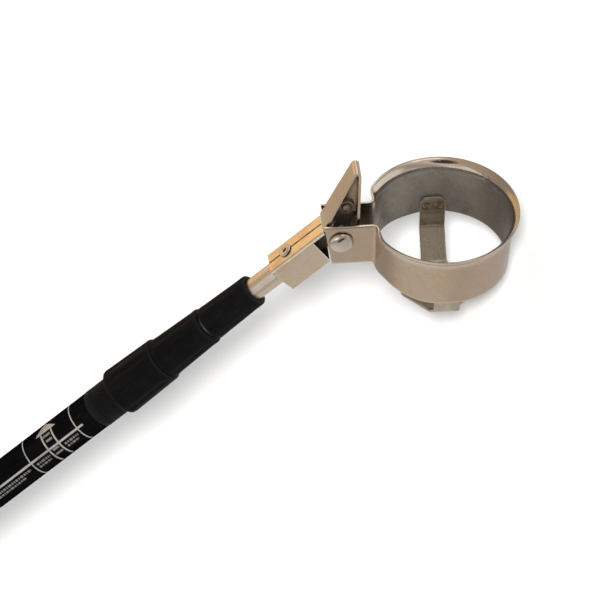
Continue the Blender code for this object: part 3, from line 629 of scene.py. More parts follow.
def shade_darkened_plate(name, rivet):
    """Plate painted dark as shade, with faint rust; its paler plated colour shows only round the
    lever's rivet.
    """
    s = Surface(name, None, metal=0.9)
    cloud = s.noise(scale=240, detail=6, rough=0.65, distortion=0.6)
    rust = s.ramp(s.noise(scale=620, detail=5, rough=0.7), span=(0.55, 0.72))
    mill = s.streaks((90, 1800, 1800), detail=5, rough=0.7, turn=(0, 0.7, 0))
    # painted shade: the plate's colour is dark everywhere but round the lever's rivet
    s.color = s.mix(cloud, (0.055, 0.05, 0.046), (0.13, 0.115, 0.10))
    s.tint(rust, (0.16, 0.075, 0.035), strength=0.5)
    near = s.add(s.vector_math('DISTANCE', s.position, rivet),
                 s.ramp(cloud, span=(0.3, 0.7), to=(-0.0007, 0.0007)))
    # the paler plated colour round the lever's rivet, where the painted shade stops
    s.tint(s.ramp(near, span=(0.0048, 0.0026)),
           s.mix(cloud, (0.30, 0.24, 0.18), (0.22, 0.17, 0.12)))
    ring = s.multiply(s.ramp(near, span=(0.0026, 0.0022)), s.ramp(near, span=(0.0018, 0.0022)))
    s.tint(ring, (0.05, 0.04, 0.03))
    s.rough = s.ramp(cloud, span=(0.3, 0.7), to=(0.36, 0.6))
    height = s.weighted((mill, 0.5), (rust, 0.5))
    return s.finish(s.bump(height, strength=0.35, distance=0.0001))


def drawn_tube(name, base, rough):
    """Drawn tube: long die lines, faint rings round it, small dings."""
    s = Surface(name, base, metal=1.0)
    lines = s.streaks((5, 1100, 1100), detail=4, rough=0.55)
    rub = s.streaks((900, 60, 60), detail=3, rough=0.6)
    cloud = s.noise(scale=70, detail=5, rough=0.6, distortion=0.3)
    nick = s.specks(scale=340, span=(0.09, 0.03), where=s.ramp(cloud, span=(0.52, 0.6)))
    s.tint(s.ramp(cloud, span=(0.35, 0.7), to=(0.0, 0.5)), scaled(base, 0.80, 0.77, 0.72))
    s.tint(s.ramp(lines, span=(0.4, 0.72), to=(0.0, 0.35)), scaled(base, 0.62, 0.6, 0.57))
    s.tint(nick, scaled(base, 0.35, 0.33, 0.3), strength=0.5)
    s.rough = s.ramp(lines, span=(0.3, 0.7), to=(rough - 0.04, rough + 0.05))
    s.roughen(s.ramp(rub, span=(0.45, 0.75), to=(0.0, 0.06)))
    height = s.weighted((lines, 0.4), (rub, 0.2), (nick, -0.8))
    return s.finish(s.bump(height, strength=0.12, distance=0.00006), anisotropy=0.3)


def black_tube(name):
    """Gloss black paint with dust and scuffs."""
    s = Surface(name, (0.005, 0.005, 0.0055))
    lines = s.streaks((10, 1400, 1400), detail=4, rough=0.6)
    peel = s.noise(scale=700, detail=3, rough=0.5)
    dusty = s.ramp(s.noise(scale=150, detail=3), span=(0.5, 0.62))
    scuff = s.ramp(s.streaks((300, 2600, 600), turn=(0.2, 0.3, 0.4), **HAIRLINE),
                   span=(0.67, 0.75))
    s.tint(s.ramp(lines, span=(0.4, 0.7)), (0.010, 0.0095, 0.0095))
    s.tint(s.specks(scale=800, span=(0.07, 0.02), where=dusty), (0.14, 0.135, 0.125),
           strength=0.30)
    s.tint(scuff, (0.06, 0.058, 0.055), strength=0.22)
    s.rough = s.ramp(peel, span=(0.3, 0.7), to=(0.18, 0.28))
    s.roughen(scuff, strength=0.25)
    height = s.weighted((peel, 0.5), (scuff, -0.5))
    return s.finish(s.bump(height, strength=0.12, distance=0.0001), coat=0.0, coat_rough=0.12,
                    specular=0.12)


def moulded(name, base, rough):
    """Moulded plastic: eroded grain, lengthwise scuffs, dust in the hollows."""
    s = Surface(name, base)
    grain = s.noise(scale=3200, detail=3, rough=0.6)
    pebble = s.cells(scale=2300)
    cloud = s.noise(scale=110, detail=5, rough=0.6)
    scuff = s.ramp(s.streaks((150, 1700, 1700), detail=3, rough=0.6, turn=(0.05, 0.08, 0.06)),
                   span=(0.60, 0.74))
    edge = s.ramp(s.pointiness, span=(0.51, 0.56))
    s.tint(s.ramp(cloud, span=(0.35, 0.7)), scaled(base, 1.7, 1.65, 1.6))
    s.tint(scuff, (0.045, 0.045, 0.05), strength=0.128)
    # paler, glossier convex edges: wear with a painted highlight
    s.tint(edge, (0.05, 0.05, 0.056), strength=0.128)
    s.tint(s.ramp(s.pointiness, span=(0.49, 0.45)), (0.02, 0.019, 0.017), strength=0.16)
    s.rough = s.ramp(cloud, span=(0.3, 0.7), to=(rough - 0.06, rough + 0.08))
    s.roughen(edge, strength=-0.1)
    height = s.weighted((grain, 0.6), (pebble, 0.5), (scuff, -0.3))
    return s.finish(s.bump(height, strength=0.30, distance=0.00012), specular=0.06)


def nylon(name):
    s = Surface(name, (0.66, 0.65, 0.60))
    cloud = s.noise(scale=190, detail=5, rough=0.6)
    grain = s.noise(scale=2600, detail=3, rough=0.6)
    grime = s.ramp(s.noise(scale=480, detail=5, rough=0.7), span=(0.55, 0.75))
    s.tint(s.ramp(cloud, span=(0.35, 0.7)), (0.52, 0.50, 0.44))
    s.tint(grime, (0.22, 0.20, 0.17), strength=0.35)
    s.rough = s.ramp(cloud, span=(0.3, 0.7), to=(0.42, 0.6))
    height = s.weighted((grain, 0.5), (cloud, 0.5))
    return s.finish(s.bump(height, strength=0.25, distance=0.0001), subsurface=0.05)


def film(name):
    """Gloss black film with hairlines and dust."""
    s = Surface(name, (0.0018, 0.0018, 0.002))
    ripple = s.streaks((60, 260, 260), detail=3, rough=0.5)
    hair = s.ramp(s.streaks((220, 2300, 2300), turn=(0.1, 0.25, 0.15), **HAIRLINE),
                  span=(0.63, 0.72))
    dusty = s.ramp(s.noise(scale=220, detail=3), span=(0.5, 0.62))
    s.tint(s.ramp(ripple, span=(0.3, 0.7)), (0.0036, 0.0033, 0.0032))
    s.tint(hair, (0.05, 0.048, 0.045), strength=0.12)
    s.tint(s.specks(scale=950, span=(0.08, 0.02), where=dusty), (0.14, 0.135, 0.125),
           strength=0.3)
    s.rough = s.ramp(ripple, span=(0.3, 0.7), to=(0.14, 0.22))
    s.roughen(hair, strength=0.18)
    height = s.weighted((ripple, 0.8), (hair, -0.2))
    return s.finish(s.bump(height, strength=0.15, distance=0.0002), coat=0.0, coat_rough=0.08,
                    specular=0.0)


def ink(name, brightness=1.0):
    """Worn grey-white print."""
    s = Surface(name, scaled((0.25, 0.24, 0.225), brightness))
    worn = s.noise(scale=900, detail=5, rough=0.7)
    patch = s.noise(scale=160, detail=4, rough=0.6)
    fine = s.streaks((300, 2500, 2500), detail=3, rough=0.6)
    wear = s.add(s.ramp(worn, span=(0.44, 0.66), to=(0.0, 0.35)),
                 s.ramp(patch, span=(0.48, 0.62), to=(0.0, 0.35)))
    s.tint(wear, scaled((0.085, 0.08, 0.076), brightness))
    s.tint(s.ramp(fine, span=(0.5, 0.75), to=(0.0, 0.4)),
           scaled((0.13, 0.125, 0.115), brightness))
    s.rough = s.ramp(worn, span=(0.3, 0.7), to=(0.3, 0.5))
    return s.finish(s.bump(worn, strength=0.2, distance=0.00005), coat=0.3, coat_rough=0.15)


def rubber(name):
    """Matt rubber: pebbled grain, pale bloom, dust in the grooves."""
    s = Surface(name, (0.0075, 0.0075, 0.008))
    pebble = s.cells(scale=950, at=s.mapping((1, 1, 1)))
    grain = s.noise(scale=2600, detail=4, rough=0.65)
    cloud = s.noise(scale=45, detail=5, rough=0.6, distortion=0.5)
    s.tint(s.ramp(cloud, span=(0.35, 0.7)), (0.017, 0.0165, 0.016))
    s.tint(s.ramp(pebble, span=(0.25, 0.55), to=(0.0, 0.35)), (0.005, 0.005, 0.005))
    s.tint(s.ramp(s.pointiness, span=(0.49, 0.45)), (0.035, 0.033, 0.03), strength=0.4)
    s.rough = s.ramp(cloud, span=(0.3, 0.7), to=(0.7, 0.9))
    domes = s.ramp(pebble, span=(0.05, 0.5), to=(1.0, 0.0))
    height = s.weighted((domes, 1.0), (grain, 0.35))
    return s.finish(s.bump(height, strength=0.5, distance=0.00025), sheen=0.04, specular=0.25)


WARM_PLATE = (0.60, 0.485, 0.37)
MATERIALS = {
    "ring": plated("plated_ring", (0.56, 0.47, 0.385), WARM_PLATE, rough=0.20,
                   grain=(500, 500, 30), detail=ring_detail),
    "strap": plated("plated_strap", (0.60, 0.55, 0.47), (0.48, 0.43, 0.36), rough=0.30,
                    grain=(900, 60, 200), detail=strap_detail),
    "lever": plated("plated_lever", (0.60, 0.49, 0.385), WARM_PLATE, rough=0.28,
                    grain=(900, 900, 50), grain_turn=(0, -0.38, 0), detail=lever_detail),
    "bracket": plated("plated_bracket", (0.585, 0.47, 0.335), (0.555, 0.42, 0.28), rough=0.28,
                      grain=(30, 1100, 1100), wear=0.7, detail=bracket_detail),
    "rivet": bright_metal("rivet_bright", (0.63, 0.60, 0.555), rough=0.12),
    "eyelet": bright_metal("eyelet_bright", (0.70, 0.66, 0.60), rough=0.20),
    "wire": bright_metal("spring_wire", (0.55, 0.54, 0.52), rough=0.24),
    "screw": bright_metal("screw_bright", (0.62, 0.62, 0.61), rough=0.26),
    "small rivet": bright_metal("small_rivet", (0.30, 0.25, 0.20), rough=0.42),
    "dark": shade_darkened_plate("dark_plate", rivet=[c * MM for c in LEVER_PIVOT]),
    "tube 1": drawn_tube("drawn_aluminium", (0.775, 0.715, 0.645), rough=0.34),
    "tube 2": drawn_tube("drawn_aluminium_2", (0.64, 0.63, 0.61), rough=0.30),
    "tube 3": drawn_tube("drawn_aluminium_3", (0.62, 0.61, 0.595), rough=0.31),
    "black": black_tube("gloss_black_tube"),
    "collar": moulded("collar_moulding", (0.0022, 0.0022, 0.0027), rough=0.52),
    "cam": moulded("cam_moulding", (0.02, 0.02, 0.022), rough=0.5),
    "nylon": nylon("natural_nylon"),
    "film": film("label_film"),
    "ink": ink("label_ink"),
    "faint ink": ink("label_ink_faint", brightness=0.50),
    "grip": rubber("grip_rubber"),
    "cap": rubber("cap_rubber"),
}

# ---------------------------------------------------------------- ring cup
RING_R = 26.6                            # line that the ring's section is swept along
RING_BOTTOM, RING_TOP = -24.5, 0.5
# (z, radius) of the wall, cup frame: outside going up, then inside going down
RING_OUTSIDE = [
    (-24.2, 26.5), (-19.5, 26.8), (-15.0, 27.07), (-10.0, 27.32), (-6.4, 27.52), (-4.6, 27.68),
    (-3.3, 28.02), (-2.2, 28.58), (-1.4, 29.22), (-0.85, 29.72)]
RING_LIP = [(-0.5, 29.92), (-0.1, 30.0), (0.25, 29.98), (0.42, 29.88)]
RING_LIP_INSIDE = [(0.48, 29.76), (0.42, 29.66), (0.33, 29.54)]
RING_INSIDE = [
    (0.14, 29.30), (-0.16, 28.80), (-0.75, 28.16), (-1.55, 27.54), (-2.6, 27.02), (-4.0, 26.68),
    (-6.0, 26.54), (-10.0, 26.32), (-15.0, 26.07), (-19.5, 25.8), (-24.2, 25.5)]
EAR_Y, EAR_T = 6.42, 1.1                 # middle of each ear's sheet, and its thickness
EAR_TOP, EAR_BOTTOM = 0.35, -18.8
EAR_END_TOP, EAR_END_BOTTOM = -46.5, -42.9
EAR_BEND_R = 2.4                         # from ear into ring
EAR_X = [EAR_END_TOP, -46.3, -45.6, -44.6, -43.5, -42.0, -40.0, -38.0, -36.2, -34.4, -32.5, -30.0]
BEND_Y = EAR_Y + EAR_BEND_R
BEND_X = -math.sqrt((RING_R + EAR_BEND_R) ** 2 - BEND_Y ** 2)
# Place along the folded sheet: (x, y) point, outward normal, how much of the ring's wall
# offset and of its height applies (0 = ear, 1 = ring), and how much of the sloped end.
Station = namedtuple("Station", "point normal wall height slope")


def ring_stations():
    bend_end = math.atan2(BEND_Y, -BEND_X)
    side = [Station((x, -EAR_Y), (0.0, -1.0), 0.0, 0.0, smoothstep((-36.0 - x) / 10.5))
            for x in EAR_X + [BEND_X]]
    steps = 10
    for i in range(1, steps + 1):
        angle = math.pi / 2 + (bend_end - math.pi / 2) * i / steps
        c, s = math.cos(angle), math.sin(angle)
        side.append(Station((BEND_X + EAR_BEND_R * c, -BEND_Y + EAR_BEND_R * s), (-c, -s),
                            0.22 * i / steps, 0.6 * smoothstep(i / steps), 0.0))
    reach = math.pi - bend_end
    ring = []
    steps = 150
    for i in range(1, steps):
        angle = -reach + 2 * reach * i / steps
        away = math.degrees(min(angle + reach, reach - angle))
        c, s = math.cos(angle), math.sin(angle)
        ring.append(Station((RING_R * c, RING_R * s), (c, s),
                            0.22 + 0.78 * smoothstep(away / 13.0),
                            0.6 + 0.4 * smoothstep(away / 55.0), 0.0))
    other_side = [s._replace(point=(s.point[0], -s.point[1]), normal=(s.normal[0], -s.normal[1]))
                  for s in reversed(side)]
    return side + ring + other_side


def ring_sections():
    outer = [(RING_BOTTOM, 26.25)] + spline(RING_OUTSIDE, 4) + RING_LIP
    inner = RING_LIP_INSIDE + spline(RING_INSIDE, 4) + [(RING_BOTTOM, 25.75)]
    wall = [(z, radius - RING_R) for z, radius in outer + inner]
    # the ear's section has the same points on a flat sheet with eased edges
    top, last = len(outer), len(wall) - 1
    insets = {0: 0.22, top - 3: 0.05, top - 2: 0.14, top - 1: 0.30,
              top: 0.30, top + 1: 0.14, top + 2: 0.05, last: 0.22}
    ear_height = EAR_TOP - EAR_BOTTOM
    ear = []
    for k, (z, _) in enumerate(wall):
        offset = EAR_T / 2 - insets.get(k, 0.0)
        ear.append((EAR_BOTTOM + (z - RING_BOTTOM) / (RING_TOP - RING_BOTTOM) * ear_height,
                    offset if k < top else -offset))
    sections = []
    for station in ring_stations():
        (x, y), (normal_x, normal_y) = station.point, station.normal
        section = []
        for (ear_z, ear_offset), (wall_z, wall_offset) in zip(ear, wall):
            z = mixed(ear_z, wall_z, station.height)
            offset = mixed(ear_offset, wall_offset, station.wall)
            shift = (station.slope * (EAR_TOP - z) / ear_height
                     * (EAR_END_BOTTOM - EAR_END_TOP))
            section.append(in_row((x + normal_x * offset + shift, y + normal_y * offset, z)))
        sections.append(section)
    return sections


def weigh_ring(mesh):
    """Masks for the ring's inside, the ears' inner faces and the lip."""
    inside, ears, lip = [], [], []
    for vertex in mesh.vertices:
        co, normal = vertex.co, vertex.normal
        x, z = turned_to_cup(co.x / MM - PIN_X, co.z / MM - PIN_Z)
        x, y, z = x + PIN_CUP_X, co.y / MM, z + PIN_CUP_Z
        normal_x, _ = turned_to_cup(normal.x, normal.z)
        inward = -(x * normal_x + y * normal.y) / max(math.hypot(x, y), 1e-6)
        on_ear = 1.0 - smoothstep((x - BEND_X - 0.4) / 2.2)
        facing_middle = -normal.y * (1 if y > 0 else -1)
        lip.append(smoothstep((z + 6.0) / 3.0) * (1 - on_ear))
        inside.append(smoothstep((inward - 0.35) / 0.5) * smoothstep((-1.6 - z) / 2.4)
                      * (1 - on_ear))
        ears.append(on_ear * smoothstep((facing_middle - 0.3) / 0.4))
    add_weights(mesh, "inner_ring", inside)
    add_weights(mesh, "inner_ear", ears)
    add_weights(mesh, "lip", lip)


def ring_cup():
    """Ring with a rolled-out lip and two parallel ears, one folded strip of sheet."""
    ob = solid("ring_cup", swept(ring_sections()))
    combine(ob, rod('Y', PIN, PIN_HOLE_R, -12, 12))
    round_edges(ob, width=0.16, angle=55.0)
    weigh_ring(ob.data)
    install(ob, "cup", "cup_band", MATERIALS["ring"])


# ---------------------------------------------------------------- strap under the ring
STRAP_END_HALF_W = 5.0
BASE_HALF_W = 15.0
BASE_HALF_L = 13.2                       # flat bottom, along y
BASE_Z = -40.75
# (y, z) of the sheet's middle on the -Y side, cup frame
STRAP_PATH = [(-25.15, -16.2), (-24.62, -24.8), (-23.7, -30.6), (-BASE_HALF_L, BASE_Z)]
STRAP_END_STATIONS = [(-25.11, -16.8), (-25.03, -18.0), (-24.8, -22.0)]


def strap_line():
    line = filleted(STRAP_PATH + mirrored(STRAP_PATH), radius=3.0, steps=8)
    line = ([line[0]] + STRAP_END_STATIONS + line[1:-1] + mirrored(STRAP_END_STATIONS)
            + [line[-1]])
    out = []
    for a, b in zip(line[:-1], line[1:]):
        a, b = Vector(a), Vector(b)
        steps = max(1, int((b - a).length / 1.6))
        if abs(a.y - BASE_Z) < 0.01 and abs(b.y - BASE_Z) < 0.01:
            steps = 44
        out += [tuple(a.lerp(b, i / steps)) for i in range(steps)]
    return out + [line[-1]]


def strap_half_width(y, z):
    """Narrow ends, and a wide base whose cropped corners are eased at both ends."""
    run = BASE_HALF_L - abs(y)
    full = BASE_HALF_W - STRAP_END_HALF_W
    extra = 0.5 * (run + math.sqrt(run * run + 0.5))
    extra = 0.5 * (extra + full - math.sqrt((extra - full) ** 2 + 0.8))
    return STRAP_END_HALF_W + max(0.0, extra) - 1.6 * smoothstep((z + 18.2) / 1.9)


def strap():
    """Plate across the ring's underside, its narrow ends welded inside the ring."""
    line = strap_line()
    steps = 16
    sections = []
    for k, (y, z) in enumerate(line):
        along = direction_at(line, k)
        normal_y, normal_z = along.y, -along.x
        half_width = strap_half_width(y, z)
        curve = smoothstep((z + 33.0) / 7.0)
        side = 1.0 if y > 0 else -1.0
        one_face, other_face = [], []
        for i in range(steps + 1):
            x = -half_width + 2 * half_width * i / steps
            bent_y = y - side * strap_sag(x) * curve
            dy, dz = normal_y * STRAP_T / 2, normal_z * STRAP_T / 2
            one_face.append(in_row((x, bent_y + dy, z + dz)))
            other_face.append(in_row((x, bent_y - dy, z - dz)))
        sections.append(one_face + other_face[::-1])
    ob = solid("ball_strap", swept(sections))
    round_edges(ob, width=0.2, angle=50.0, segments=3)
    install(ob, "cup", "cup_base_strap", MATERIALS["strap"])


# ---------------------------------------------------------------- hinge rivet
def hinge_rivet():
    """Domed head on the -Y side, smaller rounded tail on the +Y side."""
    head_r, shank_r, tail_r = 4.7, 2.0, 3.7
    profile = [(-9.25, 0.0)]             # (y, radius)
    for i in range(1, 15):
        angle = math.pi / 2 * i / 14
        profile.append((-7.75 - 1.5 * math.cos(angle), head_r * math.sin(angle)))
    profile += [(-7.52, head_r - 0.02), (-7.38, head_r - 0.12), (-7.3, head_r - 0.3),
                (-7.3, shank_r), (7.3, shank_r), (7.3, 3.55), (7.36, 3.66), (7.5, tail_r),
                (7.6, tail_r)]
    for i in range(1, 9):
        angle = math.pi / 2 * i / 9
        profile.append((7.6 + 1.2 * math.sin(angle), tail_r * math.cos(angle)))
    profile.append((8.8, 0.0))
    ob = solid("hinge_rivet", turned(profile, 'Y', PIN, segments=96))
    install(ob, "cup", "hinge_pin", MATERIALS["rivet"], sharp=50)


# ---------------------------------------------------------------- lever
LEVER_T = 1.0
LEVER_TIP_Z = 29.2
CHEEK_Y = (2.95, 3.9)
CHEEK_BOTTOM_Z = -0.6


def lever():
    """Strip folded over at its tip, with one cheek closing the +Y side."""
    # (x, z) in the cup frame: foot and direction of the leg on the hinge side
    slope = Vector((0.376, 0.927)).normalized()
    foot = Vector((-46.75, -2.95)) + Vector((slope.y, -slope.x)) * (LEVER_T / 2)
    tip = foot + slope * ((LEVER_TIP_Z - foot.y) / slope.y)
    front_foot = Vector((-33.0, -1.6))
    line = filleted([tuple(front_foot), tuple(tip), tuple(foot)], radius=1.1, steps=14)

    def quarters(a, b):
        return [tuple(Vector(a).lerp(Vector(b), i / 4)) for i in (1, 2, 3)]
    stations = ([line[0]] + quarters(line[0], line[1]) + line[1:-1]
                + quarters(line[-2], line[-1]) + [line[-1]])
    sections = []
    for k, point in enumerate(stations):
        along = direction_at(stations, k)
        normal = Vector((along.y, -along.x))
        rise = (point[1] + 3.0) / 28.2
        front_w = 4.3 - 0.3 * rise
        back_w = 5.2 - 1.25 * max(0.0, min(1.0, rise))
        if k < 4:                        # front leg
            w = front_w
        elif k < 8:                      # widening into the fold
            w = front_w + (k - 3) / 5 * (back_w - front_w)
        else:
            w = back_w
        centre = Vector(point)
        a, b = centre - normal * (LEVER_T / 2), centre + normal * (LEVER_T / 2)
        sections.append([in_row((p.x, y, p.y)) for p, y in ((a, -w), (a, w), (b, w), (b, -w))])
    ob = solid("lever", swept(sections))

    def at_cheek_bottom(end):
        return tuple(end + (tip - end) * ((CHEEK_BOTTOM_Z - end.y) / (tip.y - end.y)))
    outline = [at_cheek_bottom(front_foot)] + line[1:-1] + [at_cheek_bottom(foot)]
    vertices, faces = prism(outline, *CHEEK_Y)
    combine(ob, ([in_row(v) for v in vertices], faces), 'UNION')
    combine(ob, rod('Y', LEVER_PIVOT, PIVOT_HOLE_R, 1, 8, 40))
    round_edges(ob, width=0.17, angle=40.0, segments=3)
    add_weights(ob.data, "inner_web", [1.0 if abs(v.co.y / MM - CHEEK_Y[0]) < 0.03 else 0.0
                                       for v in ob.data.vertices])
    install(ob, "lever", "latch_lever", MATERIALS["lever"])


# ---------------------------------------------------------------- head: hinge plate, rivet, spring
def hinge_plate():
    """Flat plate from the tube's end to the pin, with an arm up to the lever's pivot."""
    half_t, half_h = 1.2, 2.9
    root_x = behind_pin(12.1)
    nose = hull([(root_x, -half_h), (root_x, half_h)] + circle(PIN_X, PIN_Z, 4.4))
    rear, front = behind_pin(18.7), behind_pin(10.5)
    shank = [(rear, -half_h), (front, -half_h), (front, half_h), (rear, half_h)]
    arm = hull(circle(PIN_X, PIN_Z, 3.6) + circle(LEVER_PIVOT.x, LEVER_PIVOT.z, 3.0))
    ob = solid("hinge_plate", prism(nose, -half_t, half_t))
    combine(ob, prism(shank, -half_t, half_t), 'UNION')
    combine(ob, prism(arm, -half_t, half_t), 'UNION')
    combine(ob, rod('Y', PIN, PIN_HOLE_R, -4, 4))
    combine(ob, rod('Y', LEVER_PIVOT, PIVOT_HOLE_R, -4, 4, 40))
    round_edges(ob, width=0.14, angle=45.0)
    install(ob, "head", "hinge_tongue", MATERIALS["dark"])


def lever_rivet():
    # (y, radius): rounded head, shank, flatter tail
    head = spline([(-2.7, 0.02), (-2.62, 0.75), (-2.35, 1.4), (-1.95, 1.82), (-1.6, 1.95)], 5)
    profile = [(-2.7, 0.0)] + head[1:] + [
        (-1.55, 1.9), (-1.55, 1.0), (4.72, 1.0), (4.72, 1.62), (4.8, 1.7), (4.95, 1.66),
        (5.1, 1.5), (5.22, 1.2), (5.3, 0.8), (5.34, 0.4), (5.35, 0.0)]
    ob = solid("lever_rivet", turned(profile, 'Y', LEVER_PIVOT, segments=56))
    install(ob, "head", "lever_pin", MATERIALS["small rivet"], sharp=50)


def torsion_spring():
    """Coil round the pin on the -Y side, with a straight leg at each end."""
    wire_r, coil_r = 0.4, 4.35
    turns, y_start, y_end = 3.25, -4.95, -2.05
    start = math.radians(200)
    steps = int(turns * 48)
    coil = []
    for i in range(steps + 1):
        angle = start - 2 * math.pi * turns * i / steps
        coil.append((PIN_X + coil_r * math.cos(angle), y_start + (y_end - y_start) * i / steps,
                     PIN_Z + coil_r * math.sin(angle)))
    end = start - 2 * math.pi * turns
    first_leg = Vector((-math.sin(start), 0, math.cos(start)))
    last_leg = Vector((math.sin(end), 0, -math.cos(end)))
    line = ([tuple(Vector(coil[0]) + first_leg * d) for d in (5.5, 3.6, 1.8, 0.9)] + coil
            + [tuple(Vector(coil[-1]) + last_leg * d) for d in (0.8, 1.6, 3.2, 4.8)])
    sections = []
    for k, point in enumerate(line):
        along = direction_at(line, k)
        u = along.cross(Vector((0, 1, 0))).normalized()
        v = along.cross(u).normalized()
        r = wire_r if 0 < k < len(line) - 1 else wire_r - 0.08
        angles = [2 * math.pi * i / 14 for i in range(14)]
        sections.append([tuple(Vector(point) + u * r * math.cos(a) + v * r * math.sin(a))
                         for a in angles])
    ob = solid("torsion_spring", swept(sections))
    install(ob, "head", "lever_spring", MATERIALS["wire"], sharp=60)


# ---------------------------------------------------------------- sheet box and eyelet
def shaft_box():
    """Sheet box wrapped round the tube, its two edges meeting in a seam on top."""
    half_w, sheet, corner_r, half_gap = 5.5, 0.75, 1.3, 0.18
    rear, top_front, side_front, side_rake = 30.4, 2.6, 8.9, 0.17   # behind the pin
    y = half_w - corner_r
    # corner centres and first angle, going round from the seam by +Y
    corners = [(y, BOX_TOP - corner_r, 90), (y, BOX_BOTTOM + corner_r, 0),
               (-y, BOX_BOTTOM + corner_r, -90), (-y, BOX_TOP - corner_r, 180)]

    def round_box(radius, top):
        out = [(half_gap, top)]
        for cy, cz, first in corners:
            for i in range(11):
                angle = math.radians(first - 90 * i / 10)
                out.append((cy + radius * math.cos(angle), cz + radius * math.sin(angle)))
        return out + [(-half_gap, top)]
    loop = (round_box(corner_r, BOX_TOP)
            + round_box(corner_r - sheet, BOX_TOP - sheet)[::-1])
    ob = solid("shaft_box", swept([[(x, *p) for p in loop]
                                   for x in (behind_pin(rear), behind_pin(top_front))]))
    # cut the sides back, leaving the top longer
    top, bottom = 7.6 - corner_r + 0.1, -12
    cut = [(behind_pin(side_front), above_pin(top)),
           (behind_pin(side_front + side_rake * (top - bottom)), above_pin(bottom)),
           (behind_pin(-2), above_pin(bottom)), (behind_pin(-2), above_pin(top))]
    combine(ob, prism(cut, -8, 8))
    combine(ob, rod('Z', (EYELET_X, 0, 0), EYELET_HOLE_R, -14, 14, 56))
    round_edges(ob, width=0.15, angle=40.0)
    install(ob, "head", "shaft_bracket", MATERIALS["bracket"])


def box_eyelet():
    """Eyelet through the box from top to bottom."""
    top, bottom = BOX_TOP, BOX_BOTTOM
    outer_r, bore_r = 1.5, 0.85
    rolled_top = spline([                # (z, radius)
        (top + 0.3, 2.62), (top + 0.42, 2.74), (top + 0.62, 2.72), (top + 0.88, 2.42),
        (top + 1.07, 1.95), (top + 1.1, 1.55), (top + 0.98, 1.15), (top + 0.6, 0.9)], 4)
    profile = [(bottom - 0.84, bore_r), (bottom - 0.9, 0.95), (bottom - 0.9, 2.1),
               (bottom - 0.8, 2.3), (bottom - 0.6, 2.45), (bottom - 0.3, 2.45),
               (bottom - 0.3, outer_r), (top + 0.3, outer_r)]
    profile += rolled_top + [(top + 0.2, bore_r)]
    ob = solid("box_eyelet", turned(profile, 'Z', (EYELET_X, 0, 0), segments=64, closed=True))
    install(ob, "head", "bracket_eyelet", MATERIALS["eyelet"], sharp=50)


# ---------------------------------------------------------------- tubes
def stepped(start, end, steps):
    """Places strictly between start and end."""
    return [start + (end - start) * i / steps for i in range(1, steps)]


def tube(name, size, material, body, node, hole=False):
    r, bore, rear, front = size
    profile = [(rear, bore), (rear, r - 0.18), (rear + 0.05, r - 0.06), (rear + 0.18, r)]
    profile += [(x, r) for x in stepped(rear, front, 24)]
    profile += [(front - 0.18, r), (front - 0.05, r - 0.06), (front, r - 0.18),
                (front, bore + 0.1), (front - 0.1, bore)]
    ob = solid(name, turned(profile, 'X', (0, 0, 0), segments=128, closed=True))
    if hole:
        # a hair off centre, so that no corner of the hole lands on an edge of the tube
        combine(ob, rod('Z', (EYELET_X, 0.013, 0), EYELET_HOLE_R, -9, 9, 48))
    install(ob, body, node, MATERIALS[material], sharp=40)


# ---------------------------------------------------------------- collars
def collar(name, node, body, ends, radii, tubes, flutes, depth, phase=0.0, skirt=None):
    """Fluted collar.

    ends, radii: (front, rear); tubes: the one leaving the front, the one held at the rear.
    skirt: (rear end, radius) of a plain sleeve behind the fluted part.
    """
    (front, rear), (r_front, r_rear) = ends, radii
    bore_front, bore_rear = (t.outer + SLIDE_GAP for t in tubes)
    lip = 3.2
    profile = [(front - 0.15, bore_front), (front - lip, bore_front), (front - lip, bore_rear)]
    if skirt is None:
        profile += [(rear, bore_rear), (rear, r_rear - 0.45), (rear + 0.08, r_rear - 0.2),
                    (rear + 0.25, r_rear - 0.06), (rear + 0.6, r_rear)]
    else:
        end, r = skirt
        profile += [
            (end, bore_rear), (end, r - 0.25), (end + 0.08, r - 0.08), (end + 0.3, r),
            (end + 3.4, r), (end + 3.6, r - 0.16), (end + 4.0, r - 0.16), (end + 4.2, r),
            (rear - 1.8, r), (rear - 1.2, r + 0.08), (rear - 0.7, r + 0.34),
            (rear - 0.25, r + 0.8), (rear + 0.1, r_rear - 0.5), (rear + 0.5, r_rear - 0.12),
            (rear + 1.2, r_rear)]
    body_start, body_end = rear + 1.9, front - 2.6
    r_end = r_front + (r_rear - r_front) * 0.12
    for i in range(15):
        t = i / 14
        profile.append((body_start + (body_end - body_start) * t, r_rear + (r_end - r_rear) * t))
    profile += [(front - 1.6, r_front + 0.01), (front - 0.75, r_front),
                (front - 0.35, r_front - 0.08), (front - 0.1, r_front - 0.28),
                (front, r_front - 0.55), (front, bore_front + 0.15)]

    def fluted(x, r, angle):
        if r < bore_rear + 0.35:
            return r
        fade = smoothstep((x - rear - 0.6) / 2.2) * smoothstep((front - 1.2 - x) / 2.6)
        if fade <= 0:
            return r
        return r - depth * fade * (0.5 - 0.5 * math.cos(flutes * angle + phase)) ** 1.6
    shape = turned(profile, 'X', (0, 0, 0), segments=288, closed=True, reshape=fluted)
    install(solid(name, shape), body, node, MATERIALS["collar"], sharp=40)


# ---------------------------------------------------------------- printed label sleeve
LABEL_REAR, LABEL_FRONT = behind_pin(215.0), behind_pin(129.5)
LABEL_INNER_R, LABEL_R = TUBE_4.outer + 0.25, TUBE_4.outer + 0.52
PRINT_R = LABEL_R + 0.015
PRINT_ROOT_R = LABEL_R - 0.06
